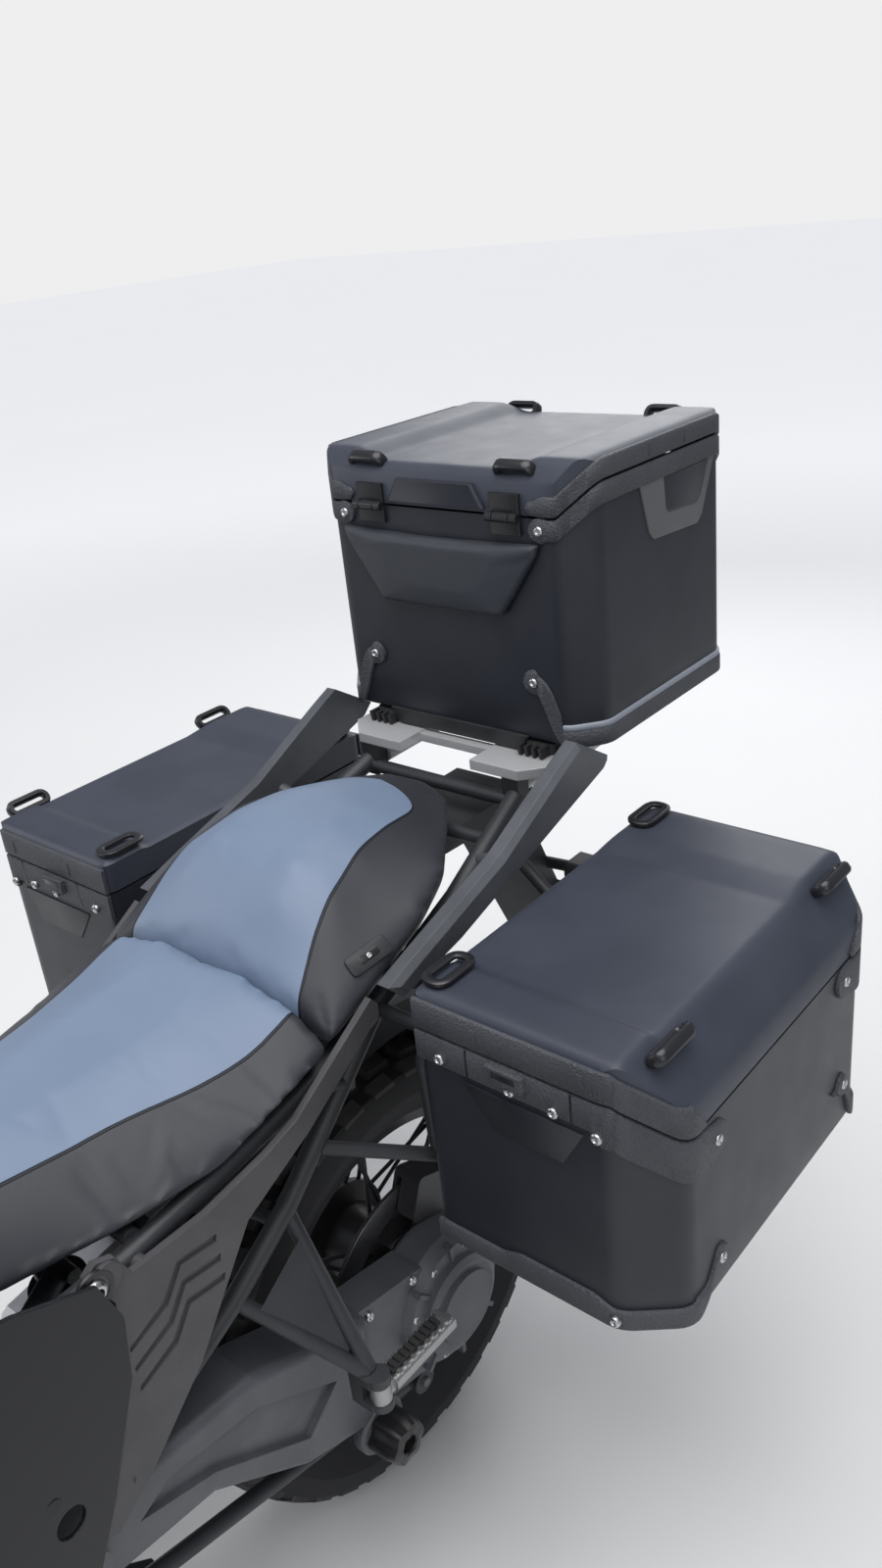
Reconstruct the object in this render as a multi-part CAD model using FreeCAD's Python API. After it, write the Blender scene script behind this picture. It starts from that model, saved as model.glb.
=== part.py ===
"""Flat-twin adventure motorcycle with two aluminium side cases and a top case.

Millimetres. While a piece is drawn, X runs forward from the rear axle, Y to the left and Z up
from the ground. When it is written out, the origin is moved to the middle of the overall length.
"""
import FreeCAD, Part
import math
import os

V = FreeCAD.Vector

# Wheels and stance, with the rear wheel held off the ground by the centre stand
WHEELBASE = 1534.0
REAR_TYRE_R = 318.0
REAR_TYRE_W = 170.0
REAR_LIFT = 12.0
FRONT_TYRE_R = 325.0
FRONT_TYRE_W = 120.0
REAR_BEAD_R = 210.0
FRONT_BEAD_R = 233.0
RIM_SEAT_GAP = 0.3
RIM_FLANGE_RISE = 15.0
SPOKE_R = 3.0
SPOKES_PER_SIDE = 16
SPOKE_SWING = 24.0
REAR_AXLE_Z = REAR_LIFT + REAR_TYRE_R
FRONT_AXLE_Z = FRONT_TYRE_R
HUB_BORE_R = 25.0
AXLE_R = 14.0
AXLE_BORE_R = 9.0
RUNNING_FIT = 0.4

# Brake discs
FINAL_DRIVE_R = 92.0
REAR_DISC_R = 138.0
REAR_DISC_Y = 71.0
FRONT_DISC_R = 152.0
FRONT_DISC_Y = 58.0
DISC_T = 5.0
PAD_GAP = 1.5
CALIPER_REACH = 30.0

# Steering geometry
RAKE = math.radians(26.0)
TRAIL = 100.0
FORK_HALF = 105.0
FORK_TUBE_R = 23.0
FORK_SLIDER_R = 29.0
FORK_TOP_Z = 1046.0
SLIDER_TOP_Z = 690.0
HEAD_TUBE_R = 33.0
STEM_R = 17.0
HEAD_LOW_Z = 872.0
HEAD_HIGH_Z = 1006.0
CLAMP_T = 26.0
BAR_R = 11.0

# Swing arm, stands and engine
PIVOT_X = 530.0
PIVOT_Z = 480.0
JOINT_X = 150.0
JOINT_FALL = 8.0
ARM_INNER_Y = 100.0
TORQUE_ROD_Y = 128.0
TORQUE_EYE_HALF = 16.0
TORQUE_PIN_R = 5.7
STAND_PIVOT_X = 470.0
STAND_PIVOT_Z = 268.0
STAND_HALF = 140.0
STAND_FOOT_X = 512.0
STAND_TUBE_R = 13.0
STAND_PIN_R = 8.0
SIDE_STAND_X = 640.0
SIDE_STAND_Y = 196.0
SIDE_STAND_Z = 246.0
SIDE_STAND_LENGTH = 245.0
CYL_X = 930.0
CYL_Z = 470.0
CASE_HALF = 150.0
ENGINE_REAR_X = 612.0
LUG_X = 1070.0
FIN_COUNT = 9
FIN_PITCH = 14.0
FIN_T = 4.0

# Frame tubes
DOWN_TUBE = [(1120, 54, 862), (1112, 94, 740), (1090, 116, 572)]
UPPER_TUBE = [(1010, 106, 764), (650, 140, 742), (560, 134, 640)]
RAIL_TUBE = [(610, 156, 752), (416, 165, 762), (193, 160, 784), (60, 150, 810), (-100, 140, 862),
             (-250, 120, 918)]
STRUT_TUBE = [(430, 146, 540), (308, 150, 604), (221, 150, 660), (60, 150, 806)]
FRAME_PLATE_Y = 84.0
FRAME_PLATE_T = 15.0
FRAME_R = 17.0
SHOCK_PIN_R = 8.0
RAIL_R = 12.0
STRUT_R = 11.0
RACK_R = 8.0

# Side cases; the skirt is how much deeper the lid is on its outer side
SIDE_FRONT_X = 98.0
SIDE_REAR_X = -360.0
SIDE_INNER_Y = 247.0
SIDE_OUTER_Y = 530.0
SIDE_LOW_Z = 576.0
SIDE_SPLIT_Z = 850.0
SIDE_TOP_Z = 898.0
SIDE_CHAMFER_X = 42.0
SIDE_CHAMFER_Y = 54.0
SIDE_SKIRT = 46.0
SIDE_SLOPE_Y = 46.0
SIDE_SLOPE_Z = 58.0
SIDE_END_DROP = 12.0
SIDE_FRONT_STRIP = 56.0
SIDE_REAR_STRIP = 86.0
SIDE_TROUGH = 9.0
SIDE_RIM_LONG = 96.0
SIDE_LID_RIM = 34.0
SIDE_BASE_RIM = 34.0

# Top case; its lid is shallower at the two sides
TOP_FRONT_X = -297.0
TOP_REAR_X = -642.0
TOP_HALF = 203.0
TOP_LOW_Z = 972.0
TOP_SPLIT_Z = 1250.0
TOP_TOP_Z = 1316.0
TOP_CHAMFER_X = 38.0
TOP_CHAMFER_Y = 34.0
TOP_SIDE_RISE = 36.0
TOP_END_DROP = 26.0
TOP_SIDE_DROP = 10.0
TOP_RAISED_Y = 140.0
TOP_TROUGH_Y = 106.0
TOP_TROUGH = 16.0
TOP_RIM_LONG = 62.0
TOP_LID_RIM = 20.0
TOP_BASE_RIM = 22.0
LATCH_PROUD = 7.0

# Shared by the three cases
WALL = 3.0
RIM_PROUD = 3.0
RIM_TALL = 30.0
SPLIT_GAP = 0.5
KNUCKLE_R = 6.0
HINGE_PIN_R = 2.5
EYE_BAR = 7.0
EYE_TALL = 11.0

SIDE_HINGE_Y = 385.0
SIDE_HINGE_X = SIDE_REAR_X - RIM_PROUD - KNUCKLE_R - 0.5
TOP_HINGE_Y = 103.0
TOP_HINGE_X = TOP_FRONT_X + RIM_PROUD + KNUCKLE_R + 0.5
SEAT_GAP = 0.3
PANEL_T = 4.0

# Handlebar, cowl and screen
RISER_Y = 42.0
BAR_X = 1092.0
BAR_Z = 1128.0
BAR_HALF = 452.0
GRIP_R = 16.5
BAR_CLAMP_R = 17.0
LAMP_REAR_X = 1352.0
COWL_HOLD_Y = 150.0
SCREEN_TOP_Z = 1540.0
SCREEN_FOOT_X = 1326.0
SCREEN_FOOT_Z = 1137.0
SCREEN_BOW_R = 300.0
SCREEN_LEAN = 0.4
SCREEN_T = 3.0
STAY_HALF = 13.0

# Seats, tank and trims
TANK_REAR_X = 655.0
SEAT_SPLIT_X = 152.0
SEAT_REST_Z = 784.0
PANEL_Y = 206.0
PANEL_FLARE = 4.0
TRIM_Y = 184.0
GRAB_Y = 186.0

# Carrier, rack and number plate
PLATE_LOW_Z = 944.0
PLATE_T = 13.0
RACK_Y = 226.0
TAIL_TUBE_Z = 887.0
PLATE_HALF = 90.0
PLATE_TALL = 150.0
PLATE_HOLE_Y = 75.0
PLATE_HOLE_R = 3.5

# Foot pegs, stands and exhaust
PEG_X = 222.0
PEG_Y = 250.0
PEG_Z = 460.0
RIDER_PEG_X = 590.0
RIDER_PEG_Y = 186.0
RIDER_PEG_Z = 334.0
STAND_EYE_Y = 104.0
STAND_LEAN = math.radians(25.0)
STAND_SWING = 100.0
SIDE_STAND_PIN_R = 5.0
PEG_PIN_R = 4.0
PIPE_R = 19.0

FRONT_END = WHEELBASE + FRONT_TYRE_R
ORIGIN_X = (FRONT_END + TOP_REAR_X - LATCH_PROUD) / 2

LEFT = 1
RIGHT = -1


def box(x0, x1, y0, y1, z0, z1):
    """A block between two corners, given in any order."""
    low = V(min(x0, x1), min(y0, y1), min(z0, z1))
    return Part.makeBox(abs(x1 - x0), abs(y1 - y0), abs(z1 - z0), low)


def polygon_face(points):
    return Part.Face(Part.makePolygon(points + points[:1]))


def side_plate(outline, y0, y1):
    """An outline of (x, z) as seen from the side, from y0 to y1."""
    return polygon_face([V(x, y0, z) for x, z in outline]).extrude(V(0, y1 - y0, 0))


def plan_plate(outline, z0, z1):
    """An outline of (x, y) as seen from above, from z0 to z1."""
    return polygon_face([V(x, y, z0) for x, y in outline]).extrude(V(0, 0, z1 - z0))


def front_plate(outline, x0, x1):
    """An outline of (y, z) as seen from ahead, from x0 to x1."""
    return polygon_face([V(x0, y, z) for y, z in outline]).extrude(V(x1 - x0, 0, 0))


def rod(start, end, radius):
    """A round bar between two points."""
    start = V(*start)
    run = V(*end) - start
    return Part.makeCylinder(radius, run.Length, start, run)


def ring(start, end, radius, bore):
    """A round bar with a bore right through."""
    return rod(start, end, radius).cut(rod(start, end, bore))


def bent_path(points, bend):
    """Straight runs joined by tangent arcs of one radius, smaller where a run is short."""
    points = [V(*p) for p in points]
    edges = []
    here = points[0]
    for before, corner, after in zip(points, points[1:], points[2:]):
        came = (corner - before).normalize()
        goes = (after - corner).normalize()
        turn = came.getAngle(goes)
        room = 0.45 * min(corner.distanceToPoint(before), corner.distanceToPoint(after))
        reach = min(bend * math.tan(turn / 2), room)
        radius = reach / math.tan(turn / 2)
        arc_in = corner - came * reach
        arc_out = corner + goes * reach
        inward = (goes - came).normalize()
        middle = corner + inward * (radius / math.cos(turn / 2) - radius)
        edges.append(Part.LineSegment(here, arc_in).toShape())
        edges.append(Part.Arc(arc_in, middle, arc_out).toShape())
        here = arc_out
    edges.append(Part.LineSegment(here, points[-1]).toShape())
    return Part.Wire(edges)


def tube(points, radius, bend=60.0):
    """A solid bar bent along the points."""
    if len(points) == 2:
        return rod(points[0], points[1], radius)
    path = bent_path(points, bend)
    start = V(*points[0])
    section = Part.Wire(Part.makeCircle(radius, start, V(*points[1]) - start))
    return path.makePipeShell([section], True, False)


def turned(profile, x, z, start=0.0, sweep=360.0, y=0.0):
    """A closed (radius, y) profile turned about the cross axis through x, z.

    start is the angle of the profile's first place, from straight ahead and up over the top.
    """
    face = polygon_face([V(x + r, y + across, z) for r, across in profile])
    face.rotate(V(x, 0, z), V(0, -1, 0), start)
    return face.revolve(V(x, 0, z), V(0, -1, 0), sweep)


def loft(sections):
    """A solid through closed outlines that have the same count of points, with flat sides."""
    wires = [Part.makePolygon(points + points[:1]) for points in sections]
    return Part.makeLoft(wires, True, True)


def fuse(shapes):
    first = shapes[0]
    return first.multiFuse(shapes[1:]).removeSplitter() if len(shapes) > 1 else first


def mirrored(shape):
    return shape.mirror(V(0, 0, 0), V(0, 1, 0))


def both_sides(shape):
    return fuse([shape, mirrored(shape)])


def rounded(shape, radius, wanted):
    """Round the edges that the test picks by their middle point."""
    edges = [e for e in shape.Edges if wanted(e)]
    return shape.makeFillet(radius, edges) if edges else shape


def edge_middle(edge):
    return edge.valueAt((edge.FirstParameter + edge.LastParameter) / 2)


def runs_along(edge, axis, tolerance=0.02):
    """True for a straight edge along one axis of the three."""
    if edge.Curve.TypeId != "Part::GeomLine":
        return False
    way = edge.tangentAt(edge.FirstParameter)
    return abs(abs(way[axis]) - 1) < tolerance


def axis_x(z):
    """Where the steering axis is at a height."""
    ground = WHEELBASE + TRAIL
    return ground - z * math.tan(RAKE)


def fork_x(z):
    """Where the fork legs are at a height: parallel to the axis, through the wheel's axle."""
    return WHEELBASE + (FRONT_AXLE_Z - z) * math.tan(RAKE)


def axis_point(z, ahead=0.0, y=0.0):
    """A point of the steering axis, or one square ahead of it."""
    return (axis_x(z) + ahead * math.cos(RAKE), y, z + ahead * math.sin(RAKE))


def fork_point(z, y):
    return (fork_x(z), y, z)


def tyre(x, z, outer_r, width, bead_r):
    """A tyre as one closed ring, with arcs for its crown and side walls."""
    half = width / 2
    bead_half = half * 0.62
    wall_r = bead_r + RIM_FLANGE_RISE + 3
    shoulder_r = outer_r - half * 0.24
    shoulder_half = half * 0.9
    middle_r = (wall_r + shoulder_r) / 2 + 2

    def at(r, y):
        return V(x + r, y, z)

    corners = [at(bead_r, -bead_half), at(wall_r, -bead_half - 4), at(shoulder_r, -shoulder_half),
               at(shoulder_r, shoulder_half), at(wall_r, bead_half + 4), at(bead_r, bead_half)]
    edges = [Part.LineSegment(corners[0], corners[1]).toShape(),
             Part.Arc(corners[1], at(middle_r, -half), corners[2]).toShape(),
             Part.Arc(corners[2], at(outer_r, 0), corners[3]).toShape(),
             Part.Arc(corners[3], at(middle_r, half), corners[4]).toShape(),
             Part.LineSegment(corners[4], corners[5]).toShape(),
             Part.LineSegment(corners[5], corners[0]).toShape()]
    return Part.Face(Part.Wire(edges)).revolve(V(x, 0, z), V(0, 1, 0), 360)


def rim_profile(width, bead_r):
    """Half of the rim's section is a flange, a bead seat and the well, then it is mirrored."""
    bead_half = width / 2 * 0.62
    seat_r = bead_r - RIM_SEAT_GAP
    flange_r = bead_r + RIM_FLANGE_RISE
    # radius, distance from the middle of the rim
    outer = [(seat_r - 12, bead_half * 0.5), (seat_r, bead_half * 0.66), (seat_r, bead_half + 0.3),
             (flange_r - 3, bead_half + 3.2), (flange_r, bead_half + 6), (flange_r, bead_half + 10)]
    inner = [(seat_r - 5, bead_half + 5), (seat_r - 19, bead_half * 0.6)]
    right = [(r, -y) for r, y in reversed(outer)]
    inner_right = [(r, -y) for r, y in inner]
    return right + outer + inner + list(reversed(inner_right))


def spoked_wheel(x, z, width, bead_r, hub_profile, flange_r, flange_half):
    """Rim, hub and crossed spokes that run from the rim's edges to the hub's flanges."""
    bead_half = width / 2 * 0.62
    rim_r = bead_r - 8
    parts = [turned(rim_profile(width, bead_r), x, z), turned(hub_profile, x, z)]
    step = 360.0 / SPOKES_PER_SIDE
    for side in (LEFT, RIGHT):
        for index in range(SPOKES_PER_SIDE):
            lean = SPOKE_SWING if index % 2 else -SPOKE_SWING
            hub_angle = math.radians(index * step + side * step / 4)
            rim_angle = hub_angle + math.radians(lean * 0.55)
            start = (x + flange_r * math.cos(hub_angle), side * flange_half,
                     z + flange_r * math.sin(hub_angle))
            end = (x + rim_r * math.cos(rim_angle), side * bead_half * 0.8,
                   z + rim_r * math.sin(rim_angle))
            parts.append(rod(start, end, SPOKE_R))
    return fuse(parts)


def brake_disc(x, z, radius, y, carrier_r, side):
    """A swept ring on a star-shaped carrier."""
    swept = turned([(radius - 36, 0), (radius, 0), (radius, side * DISC_T), (radius - 36, side * DISC_T)],
                   x, z, y=side * y)
    boss = turned([(carrier_r, 0), (carrier_r + 18, 0), (carrier_r + 18, side * DISC_T),
                   (carrier_r, side * DISC_T)], x, z, y=side * y)
    arms = []
    arm_count = 6
    for index in range(arm_count):
        angle = index * 360.0 / arm_count
        arm = box(x + carrier_r + 8, x + radius - 30, side * y, side * (y + DISC_T), z - 9, z + 9)
        arm.rotate(V(x, 0, z), V(0, 1, 0), angle)
        arms.append(arm)
    return fuse([swept, boss] + arms)


def rear_wheel():
    """The drive side of the hub is a sleeve that runs inside the final drive."""
    # radius, y
    hub = [(HUB_BORE_R, -58), (52, -58), (56, -50), (76, -48), (76, -38), (50, -30), (50, 32),
           (78, 38), (78, 62), (62, REAR_DISC_Y - SEAT_GAP), (40, REAR_DISC_Y - SEAT_GAP),
           (40, 128), (HUB_BORE_R, 128)]
    return spoked_wheel(0, REAR_AXLE_Z, REAR_TYRE_W, REAR_BEAD_R, hub, 72, 44)


def front_wheel():
    seat_y = FRONT_DISC_Y - SEAT_GAP
    half = [(28, 28), (48, 36), (48, seat_y), (30, seat_y), (30, 54), (AXLE_R + RUNNING_FIT, 54)]
    hub = [(r, -y) for r, y in reversed(half)] + half
    return spoked_wheel(WHEELBASE, FRONT_AXLE_Z, FRONT_TYRE_W, FRONT_BEAD_R, hub, 44, 40)


def rear_tyre():
    return tyre(0, REAR_AXLE_Z, REAR_TYRE_R, REAR_TYRE_W, REAR_BEAD_R)


def front_tyre():
    return tyre(WHEELBASE, FRONT_AXLE_Z, FRONT_TYRE_R, FRONT_TYRE_W, FRONT_BEAD_R)


def rear_disc():
    return brake_disc(0, REAR_AXLE_Z, REAR_DISC_R, REAR_DISC_Y, 42, LEFT)


def front_discs():
    discs = [brake_disc(WHEELBASE, FRONT_AXLE_Z, FRONT_DISC_R, FRONT_DISC_Y, 33, side)
             for side in (LEFT, RIGHT)]
    return Part.makeCompound(discs)


def caliper(x, z, disc_r, disc_y, angle, side, depth=42.0):
    """A block over the disc's edge, with a slot that the disc runs in."""
    body = box(x + disc_r - depth, x + disc_r + 16, side * (disc_y - 6),
               side * (disc_y + DISC_T + CALIPER_REACH), z - 44, z + 44)
    body = rounded(body, 9, lambda e: runs_along(e, 1))
    slot = box(x + disc_r - 60, x + disc_r + 5, side * (disc_y - PAD_GAP),
               side * (disc_y + DISC_T + PAD_GAP), z - 60, z + 60)
    body = body.cut(slot)
    body.rotate(V(x, 0, z), V(0, -1, 0), angle)
    return body


def front_calipers():
    """Radial calipers behind the fork legs, with the lugs that bolt them on."""
    calipers = []
    for side in (LEFT, RIGHT):
        body = caliper(WHEELBASE, FRONT_AXLE_Z, FRONT_DISC_R, FRONT_DISC_Y, 152, side)
        calipers.append(body.cut(rod(fork_point(250, side * FORK_HALF), fork_point(700, side * FORK_HALF),
                                     FORK_SLIDER_R + SEAT_GAP)))
    return Part.makeCompound(calipers)


def rear_caliper():
    """On the upper side of the final drive, behind its neck."""
    return caliper(0, REAR_AXLE_Z, REAR_DISC_R, REAR_DISC_Y, 112, LEFT, REAR_DISC_R - FINAL_DRIVE_R - 0.6)


# x, z of the torque rod's two pins
TORQUE_ROD_REAR = (60, REAR_AXLE_Z - 96)
TORQUE_ROD_FRONT = (PIVOT_X + 44, PIVOT_Z - 108)


def final_drive():
    """Bevel gear housing with the bore that the hub's sleeve runs in, and its round cap."""
    face_y = REAR_DISC_Y + DISC_T + 14
    # radius, y
    profile = [(40 + RUNNING_FIT, face_y), (78, face_y), (FINAL_DRIVE_R, face_y + 12),
               (FINAL_DRIVE_R, face_y + 50),
               (82, face_y + 66), (66, face_y + 70), (66, face_y + 78), (58, face_y + 82),
               (20, face_y + 82), (20, 134), (40 + RUNNING_FIT, 134)]
    housing = turned(profile, 0, REAR_AXLE_Z)
    neck = side_plate([(40, REAR_AXLE_Z + 84), (JOINT_X, REAR_AXLE_Z + 108),
                       (JOINT_X + JOINT_FALL, REAR_AXLE_Z - 52), (30, REAR_AXLE_Z - 84)],
                      face_y + 8, face_y + 56)
    neck = neck.cut(rod((0, 60, REAR_AXLE_Z), (0, 260, REAR_AXLE_Z), 60))
    rod_x, rod_z = TORQUE_ROD_REAR
    ear_y = TORQUE_ROD_Y - TORQUE_EYE_HALF - SEAT_GAP
    ear = side_plate([(26, REAR_AXLE_Z - 80), (rod_x - 18, rod_z - 8), (rod_x, rod_z - 20),
                      (rod_x + 18, rod_z - 8), (96, REAR_AXLE_Z - 60)], face_y + 8, ear_y)
    pin = rod((rod_x, face_y + 10, rod_z), (rod_x, TORQUE_ROD_Y + TORQUE_EYE_HALF + 4, rod_z), TORQUE_PIN_R)
    cap = rod((0, face_y + 70, REAR_AXLE_Z), (0, face_y + 88, REAR_AXLE_Z), 48)
    ribs = []
    rib_count = 8
    for index in range(rib_count):
        rib = box(52, 90, face_y + 60, face_y + 72, REAR_AXLE_Z - 3, REAR_AXLE_Z + 3)
        rib.rotate(V(0, 0, REAR_AXLE_Z), V(0, 1, 0), index * 360.0 / rib_count)
        ribs.append(rib)
    return fuse([housing, neck, ear, pin, cap] + ribs)


def swing_arm():
    """Single-sided casting round the drive shaft, deep at the pivot, with a lower torque rod."""
    joint_x = JOINT_X + SEAT_GAP
    # x, z as seen from the left
    outline = [(joint_x, REAR_AXLE_Z + 108), (313, 508), (443, 522), (520, 528), (560, 500),
               (556, 452), (500, 428), (387, 411), (270, 322), (joint_x + JOINT_FALL, REAR_AXLE_Z - 52)]
    arm = side_plate(outline, ARM_INNER_Y, 164)
    arm = rounded(arm, 12, lambda e: runs_along(e, 1) is False and edge_middle(e).y > 150)
    recess = side_plate([(210, 400), (320, 470), (430, 488), (470, 470), (380, 440), (260, 360)],
                        156, 170)
    pivot = rod((PIVOT_X, -96, PIVOT_Z), (PIVOT_X, 176, PIVOT_Z), 20)
    return fuse([arm.cut(recess), pivot])


def torque_rod():
    """The link under the shaft that takes the drive's twist, from housing to gearbox."""
    low_y = TORQUE_ROD_Y - TORQUE_EYE_HALF
    high_y = TORQUE_ROD_Y + TORQUE_EYE_HALF
    ends = (TORQUE_ROD_REAR, TORQUE_ROD_FRONT)
    bar = rod(*[(x, TORQUE_ROD_Y, z) for x, z in ends], 10)
    whole = fuse([bar] + [rod((x, low_y, z), (x, high_y, z), 17) for x, z in ends])
    pins = [rod((x, low_y - 1, z), (x, high_y + 1, z), TORQUE_PIN_R + SEAT_GAP) for x, z in ends]
    return whole.cut(fuse(pins))


def shock():
    """Spring strut in front of the rear wheel, from the swing arm up to the frame."""
    foot = (392, 36, 470)
    head = (430, 36, 712)
    run = V(*head) - V(*foot)
    way = V(run).normalize()
    parts = [rod(foot, head, 16)]
    coil_count = 9
    coil_r = 30
    for index in range(coil_count):
        centre = V(*foot) + way * (62 + index * 16)
        parts.append(Part.makeCylinder(coil_r, 8, centre, way))
    parts.append(rod((392, 18, 470), (392, 100 - SEAT_GAP, 470), 14))
    parts.append(rod((430, -20, 712), (430, 20, 712), 20))
    return fuse(parts).cut(rod((430, -90, 712), (430, 90, 712), SHOCK_PIN_R + SEAT_GAP))


def engine_case():
    """Crankcase with gearbox in one housing, and its sump, front cover and side ribs."""
    # x, z as seen from the left
    rear = ENGINE_REAR_X
    outline = [(rear, 300), (rear + 30, 262), (1010, 262), (1062, 300), (1076, 420), (1066, 560),
               (1010, 640), (760, 652), (690, 600), (rear + 10, 560), (rear, 548)]
    block = side_plate(outline, -CASE_HALF + 34, CASE_HALF - 34)
    barrel = side_plate([(790, 340), (860, 300), (1000, 300), (1050, 380), (1050, 540), (990, 600),
                         (850, 600), (790, 540)], -CASE_HALF, CASE_HALF)
    cover = rod((1060, 0, 470), (1098, 0, 470), 88)
    gearbox = rounded(box(rear + 8, 780, -CASE_HALF + 20, CASE_HALF - 20, 300, 520), 20,
                      lambda e: runs_along(e, 1))
    ribs = []
    for z in (300, 330, 360):
        ribs.append(box(rear + 30, 980, -CASE_HALF + 26, CASE_HALF - 26, z, z + 8))
    lugs = [box(1020, LUG_X, side * 98, side * 134, 548, 590) for side in (LEFT, RIGHT)]
    return fuse([block, barrel, cover, gearbox] + ribs + lugs)


def cylinder(side):
    """One finned barrel with its head and rocker cover."""
    start_y = CASE_HALF + SEAT_GAP
    barrel_end = start_y + FIN_COUNT * FIN_PITCH
    parts = [rod((CYL_X, side * start_y, CYL_Z), (CYL_X, side * (barrel_end + 60), CYL_Z), 62)]
    for index in range(FIN_COUNT):
        y = start_y + 8 + index * FIN_PITCH
        fin = box(CYL_X - 88, CYL_X + 88, side * y, side * (y + FIN_T), CYL_Z - 78, CYL_Z + 78)
        parts.append(rounded(fin, 26, lambda e: runs_along(e, 1)))
    head = box(CYL_X - 92, CYL_X + 92, side * barrel_end, side * (barrel_end + 70), CYL_Z - 84, CYL_Z + 84)
    parts.append(rounded(head, 22, lambda e: runs_along(e, 1)))
    cover = box(CYL_X - 86, CYL_X + 86, side * (barrel_end + 70), side * (barrel_end + 112),
                CYL_Z - 76, CYL_Z + 76)
    cover = rounded(cover, 30, lambda e: runs_along(e, 1))
    outer_y = barrel_end + 112
    cover = rounded(cover, 14, lambda e: abs(edge_middle(e).y) > outer_y - 1)
    parts.append(cover)
    for row in (-34, 0, 34):
        parts.append(box(CYL_X - 60, CYL_X + 60, side * (outer_y - 6), side * (outer_y + 5),
                         CYL_Z + row - 5, CYL_Z + row + 5))
    return fuse(parts)


def side_stand_way():
    """The stand's hinge axis leans outwards, so that the leg drops out and forward."""
    return V(0, math.cos(STAND_LEAN), math.sin(STAND_LEAN))


def stand_bracket():
    """The lug and pin that the side stand turns on."""
    way = side_stand_way()
    pivot = V(SIDE_STAND_X, SIDE_STAND_Y, SIDE_STAND_Z)
    pin = Part.makeCylinder(SIDE_STAND_PIN_R, 38, pivot - way * 24, way)
    boss = Part.makeCylinder(13, 14, pivot - way * 25, way)
    cap = Part.makeCylinder(9, 4, pivot + way * 9, way)
    arm = rod((548, FRAME_PLATE_Y + 8, 284), tuple(pivot - way * 21), 10)
    arm = arm.cut(Part.makeCylinder(30, 60, pivot - way * 11, way))
    return [pin, boss, cap, arm]


def rider_peg_bracket():
    """The arm from the frame plate with the two ears and the pin for the left rider peg."""
    ear_z = 9
    arm = box(RIDER_PEG_X - 34, RIDER_PEG_X + 20, FRAME_PLATE_Y, RIDER_PEG_Y - 14,
              RIDER_PEG_Z - ear_z, RIDER_PEG_Z + ear_z)
    ears = [box(RIDER_PEG_X + s * 12.6, RIDER_PEG_X + s * 20, RIDER_PEG_Y - 20, RIDER_PEG_Y + 8,
                RIDER_PEG_Z - ear_z, RIDER_PEG_Z + ear_z) for s in (1, -1)]
    pin = rod((RIDER_PEG_X - 19, RIDER_PEG_Y, RIDER_PEG_Z), (RIDER_PEG_X + 19, RIDER_PEG_Y, RIDER_PEG_Z),
              PEG_PIN_R)
    return [arm, pin] + ears


def foot_control():
    """The gear lever of the left side with its toe piece; the brake pedal is its twin."""
    start = (RIDER_PEG_X - 4, RIDER_PEG_Y - 24, RIDER_PEG_Z - 6)
    toe_x = RIDER_PEG_X + 148
    return [tube([start, (RIDER_PEG_X + 90, RIDER_PEG_Y, 306), (toe_x + 4, RIDER_PEG_Y + 4, 300)], 5.5, 30),
            rod((toe_x, RIDER_PEG_Y - 2, 300), (toe_x, RIDER_PEG_Y + 50, 300), 9)]


def front_stay():
    """The bracket ahead of the steering head that holds lamp, cowl and instruments."""
    # x, z as seen from the left
    outline = [(1160, 940), (1350, 928), (LAMP_REAR_X - SEAT_GAP, 960), (LAMP_REAR_X - SEAT_GAP, 1010),
               (1310, 1076), (1252, 1112), (1246, 1150), (1226, 1150), (1226, 1100), (1290, 1040),
               (1300, 990), (1160, 986)]
    web = side_plate(outline, -STAY_HALF, STAY_HALF)
    cross = box(1300, 1322, -COWL_HOLD_Y, COWL_HOLD_Y, 1052, 1070)
    return fuse([web, cross])


def upper_tube(radius):
    """The left tube from the steering head over the engine and down to the swing arm's pivot."""
    low = axis_point(HEAD_LOW_Z + 48)
    return tube([(low[0], 24, low[2])] + UPPER_TUBE + [(PIVOT_X, 106, PIVOT_Z + 60)], radius, 70)


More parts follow.
